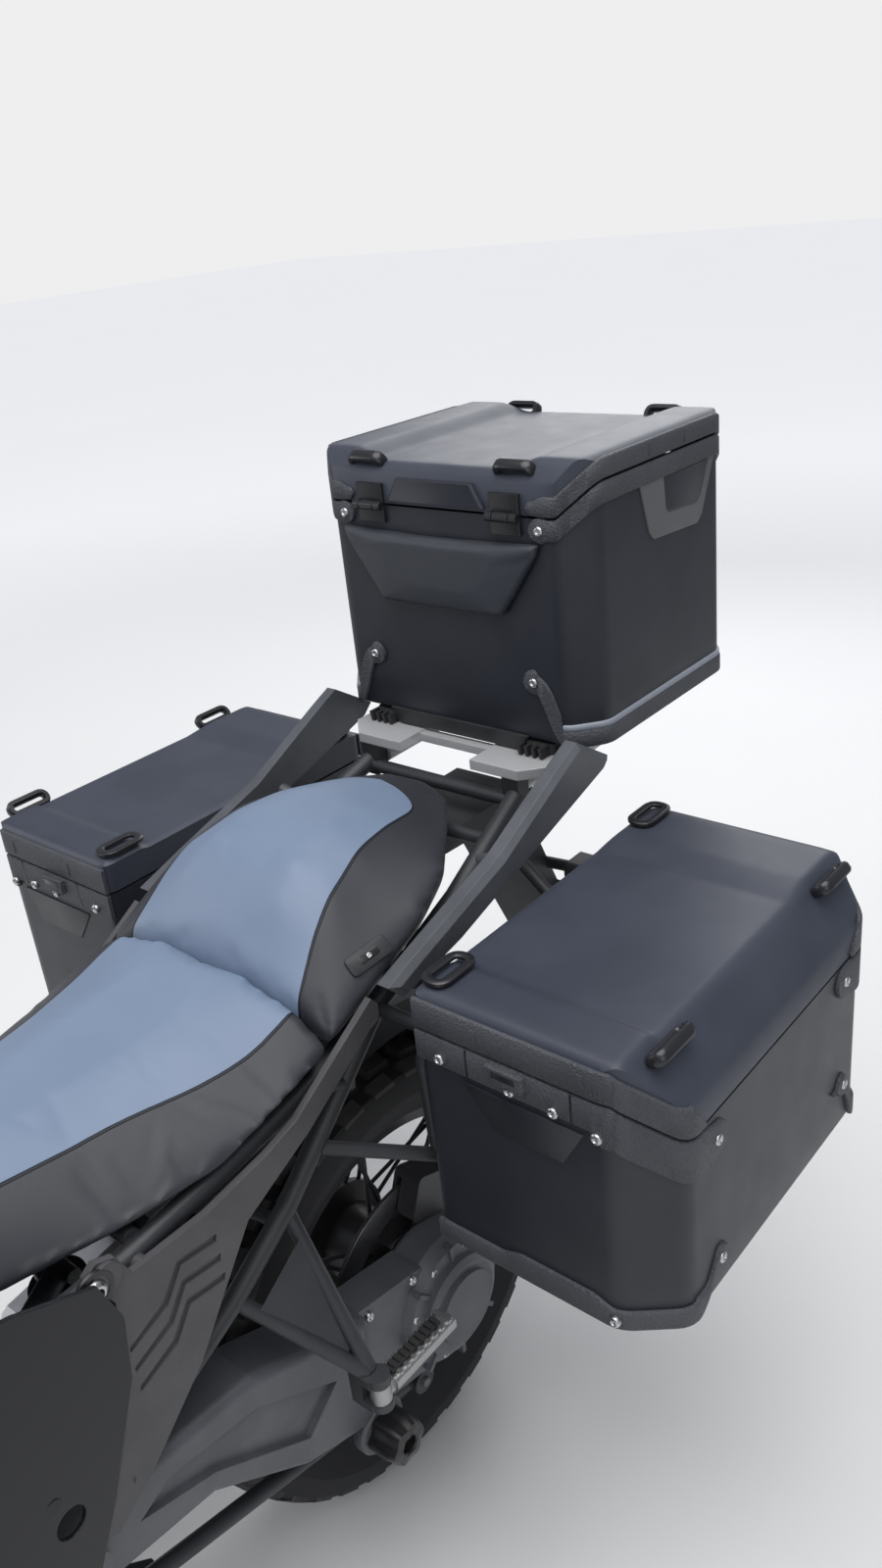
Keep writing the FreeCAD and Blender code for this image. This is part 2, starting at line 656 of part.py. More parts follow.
def main_frame():
    """Steering head, upper tubes, down tubes and the plates that carry swing arm and stand."""
    head = rod(axis_point(HEAD_LOW_Z), axis_point(HEAD_HIGH_Z), HEAD_TUBE_R)
    high = axis_point(HEAD_HIGH_Z - 40)
    left = [upper_tube(FRAME_R),
            tube(DOWN_TUBE, FRAME_R, 50),
            box(LUG_X + SEAT_GAP, LUG_X + 20, 98, 134, 548, 590),
            tube([(high[0], 20, high[2]), (1040, 40, 830), (980, 108, 768)], 12, 60)]
    # x, z as seen from the left
    plate = [(478, 640), (590, 660), (600, 552), (ENGINE_REAR_X - SEAT_GAP, 540),
             (ENGINE_REAR_X - SEAT_GAP, 470), (592, 440), (586, 330), (560, 236), (440, 236), (436, 300),
             (470, 330), (498, 420), (500, 560)]
    window = [(520, 560), (560, 580), (566, 540), (522, 524)]
    hole = rod((PIVOT_X, 0, PIVOT_Z), (PIVOT_X, 200, PIVOT_Z), 20 + RUNNING_FIT)
    plate_outer = FRAME_PLATE_Y + FRAME_PLATE_T
    left.append(side_plate(plate, FRAME_PLATE_Y, plate_outer).cut(side_plate(window, 70, 120)).cut(hole))
    cross = [rod((520, -92, 620), (520, 92, 620), 14), rod((576, -92, 300), (576, 92, 300), 14),
             rod((1000, -106, 764), (1000, 106, 764), 14), rod((430, -92, 712), (430, 92, 712), SHOCK_PIN_R)]
    struts = tube([(640, 138, 742), (500, 110, 712), (430, 70, 712)], 12, 30)
    left += [struts] + rider_peg_bracket() + foot_control()
    whole = both_sides(fuse(left))
    rod_x, rod_z = TORQUE_ROD_FRONT
    rod_pin = [rod((rod_x, FRAME_PLATE_Y, rod_z), (rod_x, TORQUE_ROD_Y + TORQUE_EYE_HALF + 4, rod_z),
                   TORQUE_PIN_R),
               rod((rod_x, FRAME_PLATE_Y, rod_z),
                   (rod_x, TORQUE_ROD_Y - TORQUE_EYE_HALF - SEAT_GAP, rod_z), 13)]
    whole = fuse([whole, head, front_stay()] + cross + rod_pin + stand_bracket())
    stand_pin = rod((STAND_PIVOT_X, -110, STAND_PIVOT_Z), (STAND_PIVOT_X, 110, STAND_PIVOT_Z),
                    STAND_PIN_R + RUNNING_FIT)
    stem_bore = rod(axis_point(HEAD_LOW_Z - 20), axis_point(HEAD_HIGH_Z + 20), STEM_R + RUNNING_FIT)
    lug_faces = [box(1000, LUG_X + SEAT_GAP, side * 90, side * 140, 540, 600) for side in (LEFT, RIGHT)]
    return whole.cut(stand_pin).cut(stem_bore).cut(fuse(lug_faces))


FORK_OFFSET = (FRONT_AXLE_Z * math.tan(RAKE) - TRAIL) * math.cos(RAKE)


def along_axis(shape, z):
    """Put a piece drawn round the origin on the steering axis, square to it, at a height."""
    shape.rotate(V(0, 0, 0), V(0, 1, 0), -math.degrees(RAKE))
    shape.translate(V(*axis_point(z)))
    return shape


def clamp_plate(thickness, z, below):
    """A fork clamp: a waisted plate with a boss round each leg, square to the steering axis."""
    leg = FORK_HALF
    # ahead of the axis, y
    half = [(-28, 34), (FORK_OFFSET - 30, leg - 14), (FORK_OFFSET - 10, leg + 30),
            (FORK_OFFSET + 26, leg + 26), (FORK_OFFSET + 34, leg - 26), (FORK_OFFSET + 8, 30)]
    outline = half + [(x, -y) for x, y in reversed(half)]
    low = -thickness if below else 0
    plate = plan_plate(outline, low, low + thickness)
    for side in (LEFT, RIGHT):
        hole = rod((FORK_OFFSET, side * leg, low - 5), (FORK_OFFSET, side * leg, low + thickness + 5),
                   FORK_TUBE_R - 1)
        plate = plate.cut(hole)
    return along_axis(plate, z)


def front_axle():
    reach = FORK_HALF + FORK_SLIDER_R + 6
    return ring((WHEELBASE, -reach, FRONT_AXLE_Z), (WHEELBASE, reach, FRONT_AXLE_Z), AXLE_R, AXLE_BORE_R)


def fork_sliders():
    """The legs that carry the axle, each with a foot round it and a spacer to the hub."""
    legs = []
    for side in (LEFT, RIGHT):
        y = side * FORK_HALF
        leg = rod(fork_point(FRONT_AXLE_Z - 10, y), fork_point(SLIDER_TOP_Z, y), FORK_SLIDER_R)
        foot = rod((WHEELBASE, side * (FORK_HALF - 28), FRONT_AXLE_Z),
                   (WHEELBASE, side * (FORK_HALF + 30), FRONT_AXLE_Z), 34)
        spacer = rod((WHEELBASE, side * (54 + SEAT_GAP), FRONT_AXLE_Z),
                     (WHEELBASE, side * FORK_HALF, FRONT_AXLE_Z), 20)
        collar = rod(fork_point(SLIDER_TOP_Z - 26, y), fork_point(SLIDER_TOP_Z, y), FORK_SLIDER_R + 4)
        lug = side_plate([(WHEELBASE - 150, 400), (WHEELBASE - 90, 372), (WHEELBASE - 70, 520),
                          (WHEELBASE - 128, 545)],
                         side * (FRONT_DISC_Y + DISC_T + CALIPER_REACH + SEAT_GAP), side * (FORK_HALF + 8))
        whole = fuse([leg, foot, spacer, collar, lug])
        bore = rod(fork_point(SLIDER_TOP_Z - 150, y), fork_point(SLIDER_TOP_Z + 40, y), FORK_TUBE_R + 0.3)
        axle = rod((WHEELBASE, 0, FRONT_AXLE_Z), (WHEELBASE, side * 200, FRONT_AXLE_Z), AXLE_R + 0.2)
        legs.append(whole.cut(bore).cut(axle))
    return Part.makeCompound(legs)


def fork_upper():
    """Inner tubes held by the two clamps, with the stem that turns in the steering head."""
    tubes = [rod(fork_point(SLIDER_TOP_Z - 148, side * FORK_HALF), fork_point(FORK_TOP_Z, side * FORK_HALF),
                 FORK_TUBE_R) for side in (LEFT, RIGHT)]
    clearance = 1.5
    low = HEAD_LOW_Z - clearance
    high = HEAD_HIGH_Z + clearance
    lower = clamp_plate(CLAMP_T + 10, low, True)
    upper = clamp_plate(CLAMP_T, high, False)
    stem = rod(axis_point(low - 20), axis_point(high + 14), STEM_R)
    risers = []
    for side in (LEFT, RIGHT):
        risers.append(rod(axis_point(high + 10, 6, side * RISER_Y), (BAR_X, side * RISER_Y, BAR_Z - 4), 17))
        risers.append(box(BAR_X - 20, BAR_X + 20, side * (RISER_Y - 16), side * (RISER_Y + 16),
                          BAR_Z - 18, BAR_Z + 18))
    whole = fuse(tubes + [lower, upper, stem] + risers)
    return whole.cut(rod((BAR_X, -120, BAR_Z), (BAR_X, 120, BAR_Z), BAR_R + 0.2))


def bar_point(share, ahead=0.0, up=0.0, side=LEFT):
    """A point of the bar's straight end: share 0 at the bend, 1 at the tip."""
    bend = V(BAR_X - 78, side * 262, BAR_Z + 50)
    tip = V(BAR_X - 130, side * BAR_HALF, BAR_Z + 38)
    place = bend + (tip - bend) * share
    return (place.x + ahead, place.y, place.z + up)


def handlebar():
    """Tapered-look bar with grips, switch housings, levers and fluid reservoirs."""
    points = [bar_point(1, side=RIGHT), bar_point(0, side=RIGHT), (BAR_X, -92, BAR_Z), (BAR_X, 92, BAR_Z),
              bar_point(0), bar_point(1)]
    parts = [tube(points, BAR_R, 60)]
    for side in (LEFT, RIGHT):
        parts.append(rod(bar_point(0.38, side=side), bar_point(0.97, side=side), GRIP_R))
        parts.append(rod(bar_point(0.97, side=side), bar_point(1.04, side=side), GRIP_R - 3))
        parts.append(rod(bar_point(0.18, side=side), bar_point(0.37, side=side), 23))
        parts.append(rod(bar_point(0.0, side=side), bar_point(0.14, side=side), BAR_CLAMP_R))
        start = bar_point(0.08, 0, 0, side)
        lever = [start, bar_point(0.14, 46, -2, side), bar_point(0.5, 62, -8, side),
                 bar_point(0.94, 58, -8, side)]
        parts.append(tube(lever, 5.5, 30))
        pot = bar_point(0.05, 34, 8, side)
        parts.append(rod(pot, (pot[0], pot[1], pot[2] + 40), 21))
        parts.append(rod(bar_point(0.05, 0, 0, side), (pot[0], pot[1], pot[2] + 6), 10))
    return fuse(parts)


def handguards():
    """A bowed shield ahead of each grip, bolted to the bar's end and to the bar inboard."""
    shields = []
    for side in (LEFT, RIGHT):
        # x, y of the outer face, then back along the inner face
        bow = [(BAR_X - 134, 470), (BAR_X - 60, 478), (BAR_X - 16, 452), (BAR_X + 10, 390),
               (BAR_X + 14, 310), (BAR_X - 2, 236)]
        inner = [(x - 4, y - 4) for x, y in reversed(bow)]
        shield = plan_plate([(x, side * y) for x, y in bow + inner], BAR_Z - 8, BAR_Z + 92)
        trim = side_plate([(BAR_X - 150, BAR_Z + 18), (BAR_X - 60, BAR_Z - 8), (BAR_X + 20, BAR_Z - 8),
                           (BAR_X + 20, BAR_Z + 70), (BAR_X - 30, BAR_Z + 92), (BAR_X - 100, BAR_Z + 70),
                           (BAR_X - 150, BAR_Z + 54)], side * 200, side * 500)
        shield = shield.common(trim)
        end = rod(bar_point(1.042, side=side), bar_point(1.115, side=side), 9)
        arm = rod(bar_point(0.28, 8, 16, side), (BAR_X + 12, side * 306, BAR_Z + 60), 7)
        hold = rod(bar_point(0.1, 0, 0, side), bar_point(0.5, 0, 0, side), 23 + SEAT_GAP)
        guard = fuse([shield, end, arm.cut(hold)])
        shields.append(guard)
    return Part.makeCompound(shields)


def mirrors():
    """A bent stem on each side of the bar, with a rounded head."""
    heads = []
    for side in (LEFT, RIGHT):
        root = bar_point(0.07, 0, 0, side)
        stem = tube([root, (root[0], root[1], root[2] + 70), (BAR_X - 46, side * 326, BAR_Z + 186)], 6, 30)
        foot = rod(root, (root[0], root[1], root[2] + 32), 9)
        clamp = rod(bar_point(-0.1, 0, 0, side), bar_point(0.3, 0, 0, side), BAR_CLAMP_R + SEAT_GAP)
        head = box(BAR_X - 66, BAR_X - 36, side * 278, side * 432, BAR_Z + 178, BAR_Z + 276)
        head = rounded(head, 26, lambda e: runs_along(e, 0))
        head = rounded(head, 9, lambda e: edge_middle(e).x > BAR_X - 37)
        heads.append(fuse([stem, foot, head]).cut(clamp))
    return Part.makeCompound(heads)


def front_mudguard():
    """A thin bowed guard that follows the tyre, on tabs at the fork legs."""
    r = FRONT_TYRE_R + 14
    # radius, y
    profile = [(r - 18, -74), (r + 2, -70), (r + 9, -30), (r + 9, 30), (r + 2, 70), (r - 18, 74),
               (r - 18, 71), (r - 1, 67), (r + 6, 29), (r + 6, -29), (r - 1, -67), (r - 18, -71)]
    guard = turned(profile, WHEELBASE, FRONT_AXLE_Z, 38, 118)
    tabs = []
    for side in (LEFT, RIGHT):
        tab = box(WHEELBASE + r - 18, WHEELBASE + r - 2, side * 70, side * 92,
                  FRONT_AXLE_Z - 26, FRONT_AXLE_Z + 26)
        tab.rotate(V(WHEELBASE, 0, FRONT_AXLE_Z), V(0, -1, 0), 90 + math.degrees(RAKE))
        leg = rod(fork_point(500, side * FORK_HALF), fork_point(800, side * FORK_HALF),
                  FORK_SLIDER_R + SEAT_GAP)
        tabs.append(tab.cut(leg))
    return fuse([guard] + tabs)


def headlight():
    """A wide housing with a pair of round lamps side by side."""
    body = box(LAMP_REAR_X, LAMP_REAR_X + 70, -104, 104, 942, 1052)
    body = rounded(body, 18, lambda e: runs_along(e, 0))
    parts = [body]
    for side in (LEFT, RIGHT):
        parts.append(rod((LAMP_REAR_X + 60, side * 50, 998), (LAMP_REAR_X + 84, side * 50, 998), 42))
    return fuse(parts)


def cowl_section(x, half, low, high, shrink=0.0):
    """One rounded-off outline of the cowl, or the same outline inside its wall."""
    half, low, high = half - shrink, low + shrink, high - shrink
    corner = min(26, (high - low) / 3)
    points = [(half - corner, low), (half, low + corner), (half, high - corner), (half - corner * 1.6, high)]
    points = points + [(-y, z) for y, z in reversed(points)]
    return [V(x, y, z) for y, z in points]


def screen_back(z, y):
    """Just behind the screen's inner face, at a height and a distance from the middle."""
    back_r = SCREEN_BOW_R - SCREEN_T
    foot_x = SCREEN_FOOT_X - SCREEN_BOW_R + math.sqrt(back_r ** 2 - y ** 2)
    return foot_x - SCREEN_LEAN * (z - SCREEN_FOOT_Z) - SEAT_GAP


def front_fairing():
    """The cowl round the lamps, with the beak that reaches out over the mudguard."""
    # x, half width, low z, high z
    stations = [(1262, 186, 1000, 1126), (1345, 168, 934, 1134), (1446, 124, 930, 1082)]
    outer = loft([cowl_section(*s) for s in stations])
    inner_stations = [(1256, 188, 1000, 1126)] + stations[1:2] + [(1452, 122, 930, 1079)]
    inner = loft([cowl_section(*s, shrink=PANEL_T) for s in inner_stations])
    shell = outer.cut(inner)
    shell = shell.cut(box(1200, 1352, -162, 162, 800, 1104))
    # x, half width, low z, high z
    beak_stations = [(1378, 112, 905, 940), (1446, 98, 896, 934), (1512, 68, 886, 918), (1612, 26, 868, 884)]
    beak = loft([cowl_section(x, half, low - 12, high, 0) if half > 60 else
                 [V(x, y, z) for y, z in ((14, low), (26, low + 6), (26, high - 4), (14, high),
                                          (-14, high), (-26, high - 4), (-26, low + 6), (-14, low))]
                 for x, half, low, high in beak_stations])
    ears = []
    for side in (LEFT, RIGHT):
        ears.append(box(1296, 1326, side * (COWL_HOLD_Y + SEAT_GAP), side * 180, 1050, 1072))
        ears.append(side_plate([(1270, 1118), (screen_back(1118, 60), 1118), (screen_back(1176, 60), 1176),
                                (1286, 1176)], side * 52, side * 60))
    stay_room = box(1190, 1352, -STAY_HALF - SEAT_GAP, STAY_HALF + SEAT_GAP, 920, 1160)
    return fuse([shell, beak] + ears).cut(stay_room)


def windscreen():
    """A bowed clear screen, raked back, with rounded shoulders."""
    foot_x = SCREEN_FOOT_X
    foot_z = SCREEN_FOOT_Z
    rise = SCREEN_TOP_Z - foot_z
    centre = V(foot_x - SCREEN_BOW_R, 0, foot_z)
    band = Part.makeCylinder(SCREEN_BOW_R, 1, centre)
    band = band.cut(Part.makeCylinder(SCREEN_BOW_R - SCREEN_T, 1, centre))
    face = [f for f in band.Faces if f.normalAt(0, 0).z < -0.9][0]
    sheet = face.extrude(V(-rise * SCREEN_LEAN, 0, rise))
    # y, z
    half = [(146, foot_z - 5), (166, foot_z + 0.3 * rise), (150, foot_z + 0.72 * rise),
            (112, foot_z + 0.96 * rise), (70, SCREEN_TOP_Z)]
    shape = front_plate(half + [(-y, z) for y, z in reversed(half)], foot_x - 400, foot_x + 50)
    front_half = box(foot_x - 340, foot_x + 10, -200, 200, foot_z - 10, SCREEN_TOP_Z + 10)
    back = SCREEN_LEAN * rise
    rear_edge = side_plate([(foot_x - 70, foot_z - 20), (foot_x + 60, foot_z - 20),
                            (foot_x + 100 - back, SCREEN_TOP_Z + 40),
                            (foot_x - 100 - back, SCREEN_TOP_Z + 40)], -220, 220)
    return sheet.common(shape).common(front_half).common(rear_edge)


def instruments():
    """A flat display in a thick bezel, tilted back to the rider."""
    panel = box(1214, 1244, -88, 88, 1150 + SEAT_GAP, 1236)
    panel = rounded(panel, 12, lambda e: runs_along(e, 0))
    return panel


def fuel_tank():
    """The tank narrows to the seat and drops away ahead, clear of the fork."""
    # x, then half width and z of the foot, the widest line, the shoulder and the crown
    stations = [(TANK_REAR_X, (92, 826), (108, 868), (82, 906), (40, 918)),
                (760, (118, 800), (166, 892), (128, 978), (60, 1006)),
                (890, (128, 800), (200, 918), (160, 1042), (72, 1078)),
                (990, (128, 826), (204, 930), (158, 1050), (72, 1084)),
                (1050, (84, 872), (158, 930), (132, 1000), (60, 1034))]
    sections = []
    for x, *ring_points in stations:
        left = [V(x, y, z) for y, z in ring_points]
        right = [V(x, -y, z) for y, z in reversed(ring_points)]
        sections.append(left + right)
    tank = loft(sections)
    cap = rod((830, 0, 1024), (820, 0, 1066), 44)
    feet = []
    for side in (LEFT, RIGHT):
        for x, tube_y, tube_z in ((760, 129, 749), (950, 112, 761)):
            feet.append(rod((x, side * tube_y, tube_z), (x, side * 112, 832), 10))
    seats = upper_tube(FRAME_R + SEAT_GAP)
    return fuse([tank, cap] + feet).cut(seats).cut(mirrored(seats))


def tank_panels():
    """Glossy side panels from the knee to the cowl, standing off the frame on bosses."""
    # x, z as seen from the left
    outline = [(452, 756), (468, 806), (542, 843), (660, 884), (780, 944), (900, 1004), (1010, 1036),
               (1096, 968), (1110, 860), (1020, 792), (860, 716), (700, 640), (600, 540), (560, 506),
               (541, 526), (505, 590), (460, 692)]
    raised = [(640, 800), (780, 880), (930, 960), (1030, 960), (1070, 880), (980, 820), (820, 740),
              (680, 690)]
    panels = []
    for side in (LEFT, RIGHT):
        plate = side_plate(outline, PANEL_Y, PANEL_Y + PANEL_T)
        relief = side_plate(raised, PANEL_Y + PANEL_T - 1, PANEL_Y + PANEL_T + 9)
        hole = rod((550, 150, 610), (550, 260, 610), 15)
        pocket = side_plate([(700, 720), (830, 770), (960, 840), (940, 860), (800, 790), (690, 740)],
                            PANEL_Y + PANEL_T + 4, PANEL_Y + 40)
        plate = fuse([plate, relief]).cut(pocket).cut(hole)
        plate.rotate(V(452, PANEL_Y, 0), V(0, 0, 1), PANEL_FLARE)
        bosses = [rod((560, 151 + SEAT_GAP, 640), (560, PANEL_Y + 12, 640), 9),
                  rod((1104, 98 + FRAME_R, 716), (1062, PANEL_Y + 46, 852), 8)]
        panel = fuse([plate] + bosses).cut(tube(DOWN_TUBE, FRAME_R + SEAT_GAP, 50))
        panels.append(panel if side == LEFT else mirrored(panel))
    return Part.makeCompound(panels)


def padded_loft(stations):
    """A cushion through sections of (half width, z) at the foot, edge, shoulder and crown."""
    sections = []
    for x, *ring_points in stations:
        left = [V(x, y, z) for y, z in ring_points]
        right = [V(x, -y, z) for y, z in reversed(ring_points)]
        sections.append(left + right)
    return loft(sections)


def rider_seat():
    """The nose is narrow against the tank, and the back is held by the step of the rear seat."""
    stations = [(SEAT_SPLIT_X + 3, (174, 820), (183.5, 836), (140, 866), (70, 884)),
                (230, (180, 812), (192, 816), (137, 851), (70, 868)),
                (300, (176, 788), (186, 800), (121, 848), (62, 862)),
                (400, (160, 786), (170, 797), (98, 850), (50, 862)),
                (520, (130, 788), (140, 802), (84, 862), (44, 874)),
                (600, (100, 806), (110, 822), (72, 884), (40, 896)),
                (TANK_REAR_X - 4, (70, 830), (80, 850), (62, 900), (32, 912))]
    cushion = padded_loft(stations)
    base = box(250, 540, -104, 104, SEAT_REST_Z + SEAT_GAP, 830)
    return fuse([cushion, base])


def pillion_seat():
    """A raised seat that narrows towards the top case."""
    stations = [(SEAT_SPLIT_X - 3, (174, 826), (183.5, 840), (138, 866), (70, 884)),
                (100, (172, 842), (183, 860), (122, 916), (72, 940)),
                (66, (174, 856), (183.5, 876), (116, 940), (66, 966)),
                (0, (172, 878), (183.5, 904), (98, 960), (56, 978)),
                (-60, (156, 898), (168, 924), (90, 960), (48, 974)),
                (-120, (112, 906), (124, 926), (76, 950), (40, 962)),
                (-200, (52, 910), (62, 920), (44, 934), (26, 942))]
    cushion = padded_loft(stations)
    base = box(-100, 100, -96, 96, 850, 900)
    return fuse([cushion, base])


def strut_tube(radius):
    """The left strut from the frame's plate up to the rail under the rear seat."""
    return tube([(490, FRAME_PLATE_Y + FRAME_PLATE_T + SEAT_GAP, 566)] + STRUT_TUBE, radius, 50)


def rear_subframe():
    """Two upper rails and two struts, with cross tubes, seat rests and passenger peg brackets."""
    rails = tube(RAIL_TUBE, RAIL_R, 70)
    strut = strut_tube(STRUT_R)
    post = box(-268, -246, 104, 128, 900, PLATE_LOW_Z - SEAT_GAP)
    brace = rod((174, 160, 788), (110, 150, 744), 8)
    hook = rod((610, 140 + FRAME_R + SEAT_GAP, 744), (610, 160, 752), 10)
    peg_arms = [rod((222, 150, 656), (PEG_X, 238, PEG_Z + 22), 8.5),
                rod((306, 150, 604), (PEG_X + 4, 238, PEG_Z + 22), 8.5)]
    web = loft([[V(222, 170, 636), V(296, 170, 588), V(240, 170, 560), V(224, 170, 580)],
                [V(224, 222, 512), V(246, 222, 504), V(240, 222, 496), V(226, 222, 500)]])
    clevis = [rod((PEG_X, PEG_Y, PEG_Z + 12.5), (PEG_X, PEG_Y, PEG_Z + 24), 13),
              rod((PEG_X, PEG_Y, PEG_Z - 22), (PEG_X, PEG_Y, PEG_Z - 12.5), 13),
              box(PEG_X + 3, PEG_X + 15, PEG_Y - 30, PEG_Y - 14, PEG_Z - 22, PEG_Z + 24),
              box(PEG_X - 8, PEG_X + 15, PEG_Y - 20, PEG_Y, PEG_Z - 22, PEG_Z - 12.5),
              box(PEG_X - 8, PEG_X + 15, PEG_Y - 20, PEG_Y, PEG_Z + 12.5, PEG_Z + 24),
              rod((PEG_X, PEG_Y, PEG_Z - 20), (PEG_X, PEG_Y, PEG_Z + 20), PEG_PIN_R)]
    half = fuse([rails, strut, post, brace, hook, web] + peg_arms + clevis)
    cross = [rod((x, -y, z), (x, y, z), 8) for x, y, z in ((380, 160, 766), (230, 158, 778),
                                                           (-190, 126, TAIL_TUBE_Z))]
    rests = [box(262, 520, -20, 20, SEAT_REST_Z - 16, SEAT_REST_Z),
             box(-80, 60, -12, 12, 832, 850 - SEAT_GAP)]
    ties = [rod((400, -160, SEAT_REST_Z - 10), (400, 160, SEAT_REST_Z - 10), 9),
            rod((280, -160, SEAT_REST_Z - 10), (280, 160, SEAT_REST_Z - 10), 9),
            rod((0, -148, 838), (0, 148, 838), 8), rod((-250, -118, 912), (-250, 118, 912), 9)]
    return fuse([half, mirrored(half)] + cross + rests + ties)


def grab_rails():
    """A long angular handle beside the rear seat on each side, on two bosses."""
    # x, z as seen from the left
    outline = [(84, 868), (62, 845), (-30, 862), (-114, 886), (-316, 944), (-332, 958), (-268, 1000),
               (-236, 986), (-110, 926), (20, 888)]
    rails = []
    for side in (LEFT, RIGHT):
        rail = side_plate(outline, GRAB_Y, GRAB_Y + 22)
        rail = rail.makeChamfer(7, [e for e in rail.Edges if edge_middle(e).y > GRAB_Y + 21])
        bosses = [rod((33, 150, 838), (33, GRAB_Y + 14, 848), 10),
                  rod((-150, 140, 884), (-150, GRAB_Y + 10, 904), 9)]
        keep_clear = tube(RAIL_TUBE, RAIL_R + SEAT_GAP, 70)
        rail = fuse([rail] + [boss.cut(keep_clear) for boss in bosses])
        solids = sorted(rail.Solids, key=lambda s: s.Volume)
        rail = solids[-1]
        rails.append(rail if side == LEFT else mirrored(rail))
    return Part.makeCompound(rails)


def side_trims():
    """The trim below the seat, with its stepped chevron grooves."""
    # x, z as seen from the left
    outline = [(92, 852), (100, 862), (220, 792), (262, 781), (340, 770), (424, 772), (436, 800),
               (455, 808), (467, 800), (447, 756), (455, 690), (500, 588), (536, 528), (502, 520),
               (455, 552), (382, 618), (298, 728), (206, 770), (92, 838)]
    trims = []
    for side in (LEFT, RIGHT):
        trim = side_plate(outline, TRIM_Y, TRIM_Y + PANEL_T + 4)
        for drop in (0, 24, 48):
            groove = side_plate([(335, 742 - drop), (380, 748 - drop), (404, 718 - drop),
                                 (446, 700 - drop), (446, 694 - drop), (400, 710 - drop),
                                 (378, 740 - drop), (337, 734 - drop)],
                                TRIM_Y + PANEL_T + 1, TRIM_Y + 20)
            trim = trim.cut(groove)
        bolt = rod((450, TRIM_Y + 4, 788), (450, TRIM_Y + 12, 788), 16)
        boss = rod((410, 165 + RAIL_R + SEAT_GAP, 764), (410, TRIM_Y + 4, 764), 8)
        lower = rod((440, 158, 560), (480, TRIM_Y + 4, 560), 7)
        trim = fuse([trim, bolt, boss, lower.cut(strut_tube(STRUT_R + SEAT_GAP))])
        trims.append(trim if side == LEFT else mirrored(trim))
    return Part.makeCompound(trims)


def side_case_plan(shrink=0.0):
    """The plan of a side case, from the inner front corner round the two cut outer corners."""
    front = SIDE_FRONT_X - shrink
    rear = SIDE_REAR_X + shrink
    inner = SIDE_INNER_Y + max(shrink, 0)
    outer = SIDE_OUTER_Y - shrink
    slip = shrink * 0.4
    return [(front, inner), (front, outer - SIDE_CHAMFER_Y + slip), (front - SIDE_CHAMFER_X + slip, outer),
            (rear + SIDE_CHAMFER_X - slip, outer), (rear, outer - SIDE_CHAMFER_Y + slip), (rear, inner)]


def top_case_plan(shrink=0.0):
    """The plan of the top case, with all its four corners cut."""
    front = TOP_FRONT_X - shrink
    rear = TOP_REAR_X + shrink
    half = TOP_HALF - shrink
    slip = shrink * 0.4
    left = [(front, half - TOP_CHAMFER_Y + slip), (front - TOP_CHAMFER_X + slip, half),
            (rear + TOP_CHAMFER_X - slip, half), (rear, half - TOP_CHAMFER_Y + slip)]
    return left + [(x, -y) for x, y in reversed(left)]


def side_split_room(lift):
    """All that lies above the side case's split, which drops along the outer corners."""
    corner = SIDE_OUTER_Y - SIDE_CHAMFER_Y
    past = 20
    level = SIDE_SPLIT_Z + lift
    low = level - SIDE_SKIRT * (SIDE_CHAMFER_Y + past) / SIDE_CHAMFER_Y
    # y, z
    outline = [(SIDE_INNER_Y - past, level), (corner, level), (SIDE_OUTER_Y + past, low),
               (SIDE_OUTER_Y + past, SIDE_TOP_Z + 100), (SIDE_INNER_Y - past, SIDE_TOP_Z + 100)]
    return front_plate(outline, SIDE_REAR_X - past, SIDE_FRONT_X + past)


def side_lid_form(shrink):
    """The side lid as a block: raised ends, a trough between them and a sloped outer side."""
    top = SIDE_TOP_Z - shrink
    front = SIDE_FRONT_X - shrink
    rear = SIDE_REAR_X + shrink
    inner = SIDE_INNER_Y + shrink
    outer = SIDE_OUTER_Y - shrink
    floor = SIDE_SPLIT_Z - SIDE_SKIRT - 60
    strip_x = SIDE_FRONT_X - SIDE_FRONT_STRIP
    step_x = SIDE_REAR_X + SIDE_REAR_STRIP
    # x, z as seen from the left
    along = [(front, floor), (front, top - SIDE_END_DROP), (front - SIDE_END_DROP, top), (strip_x, top),
             (strip_x - SIDE_TROUGH, top - SIDE_TROUGH), (step_x + 44, top - SIDE_TROUGH), (step_x, top),
             (rear + SIDE_END_DROP, top), (rear, top - SIDE_END_DROP), (rear, floor)]
    # y, z as seen from ahead
    across = [(inner, floor), (inner, top - 7), (inner + 7, top), (outer - SIDE_SLOPE_Y, top),
              (outer, top - SIDE_SLOPE_Z), (outer, floor)]
    form = plan_plate(side_case_plan(shrink), floor, top + 1)
    form = form.common(side_plate(along, SIDE_INNER_Y - 10, SIDE_OUTER_Y + 10))
    return form.common(front_plate(across, SIDE_REAR_X - 10, SIDE_FRONT_X + 10))


def top_split_room(lift):
    """All that lies above the top case's split, which rises along the four corners."""
    corner = TOP_HALF - TOP_CHAMFER_Y
    past = 20
    level = TOP_SPLIT_Z + lift
    high = level + TOP_SIDE_RISE * (TOP_CHAMFER_Y + past) / TOP_CHAMFER_Y
    # y, z
    outline = [(-TOP_HALF - past, high), (-corner, level), (corner, level), (TOP_HALF + past, high),
               (TOP_HALF + past, TOP_TOP_Z + 100), (-TOP_HALF - past, TOP_TOP_Z + 100)]
    return front_plate(outline, TOP_REAR_X - past, TOP_FRONT_X + past)


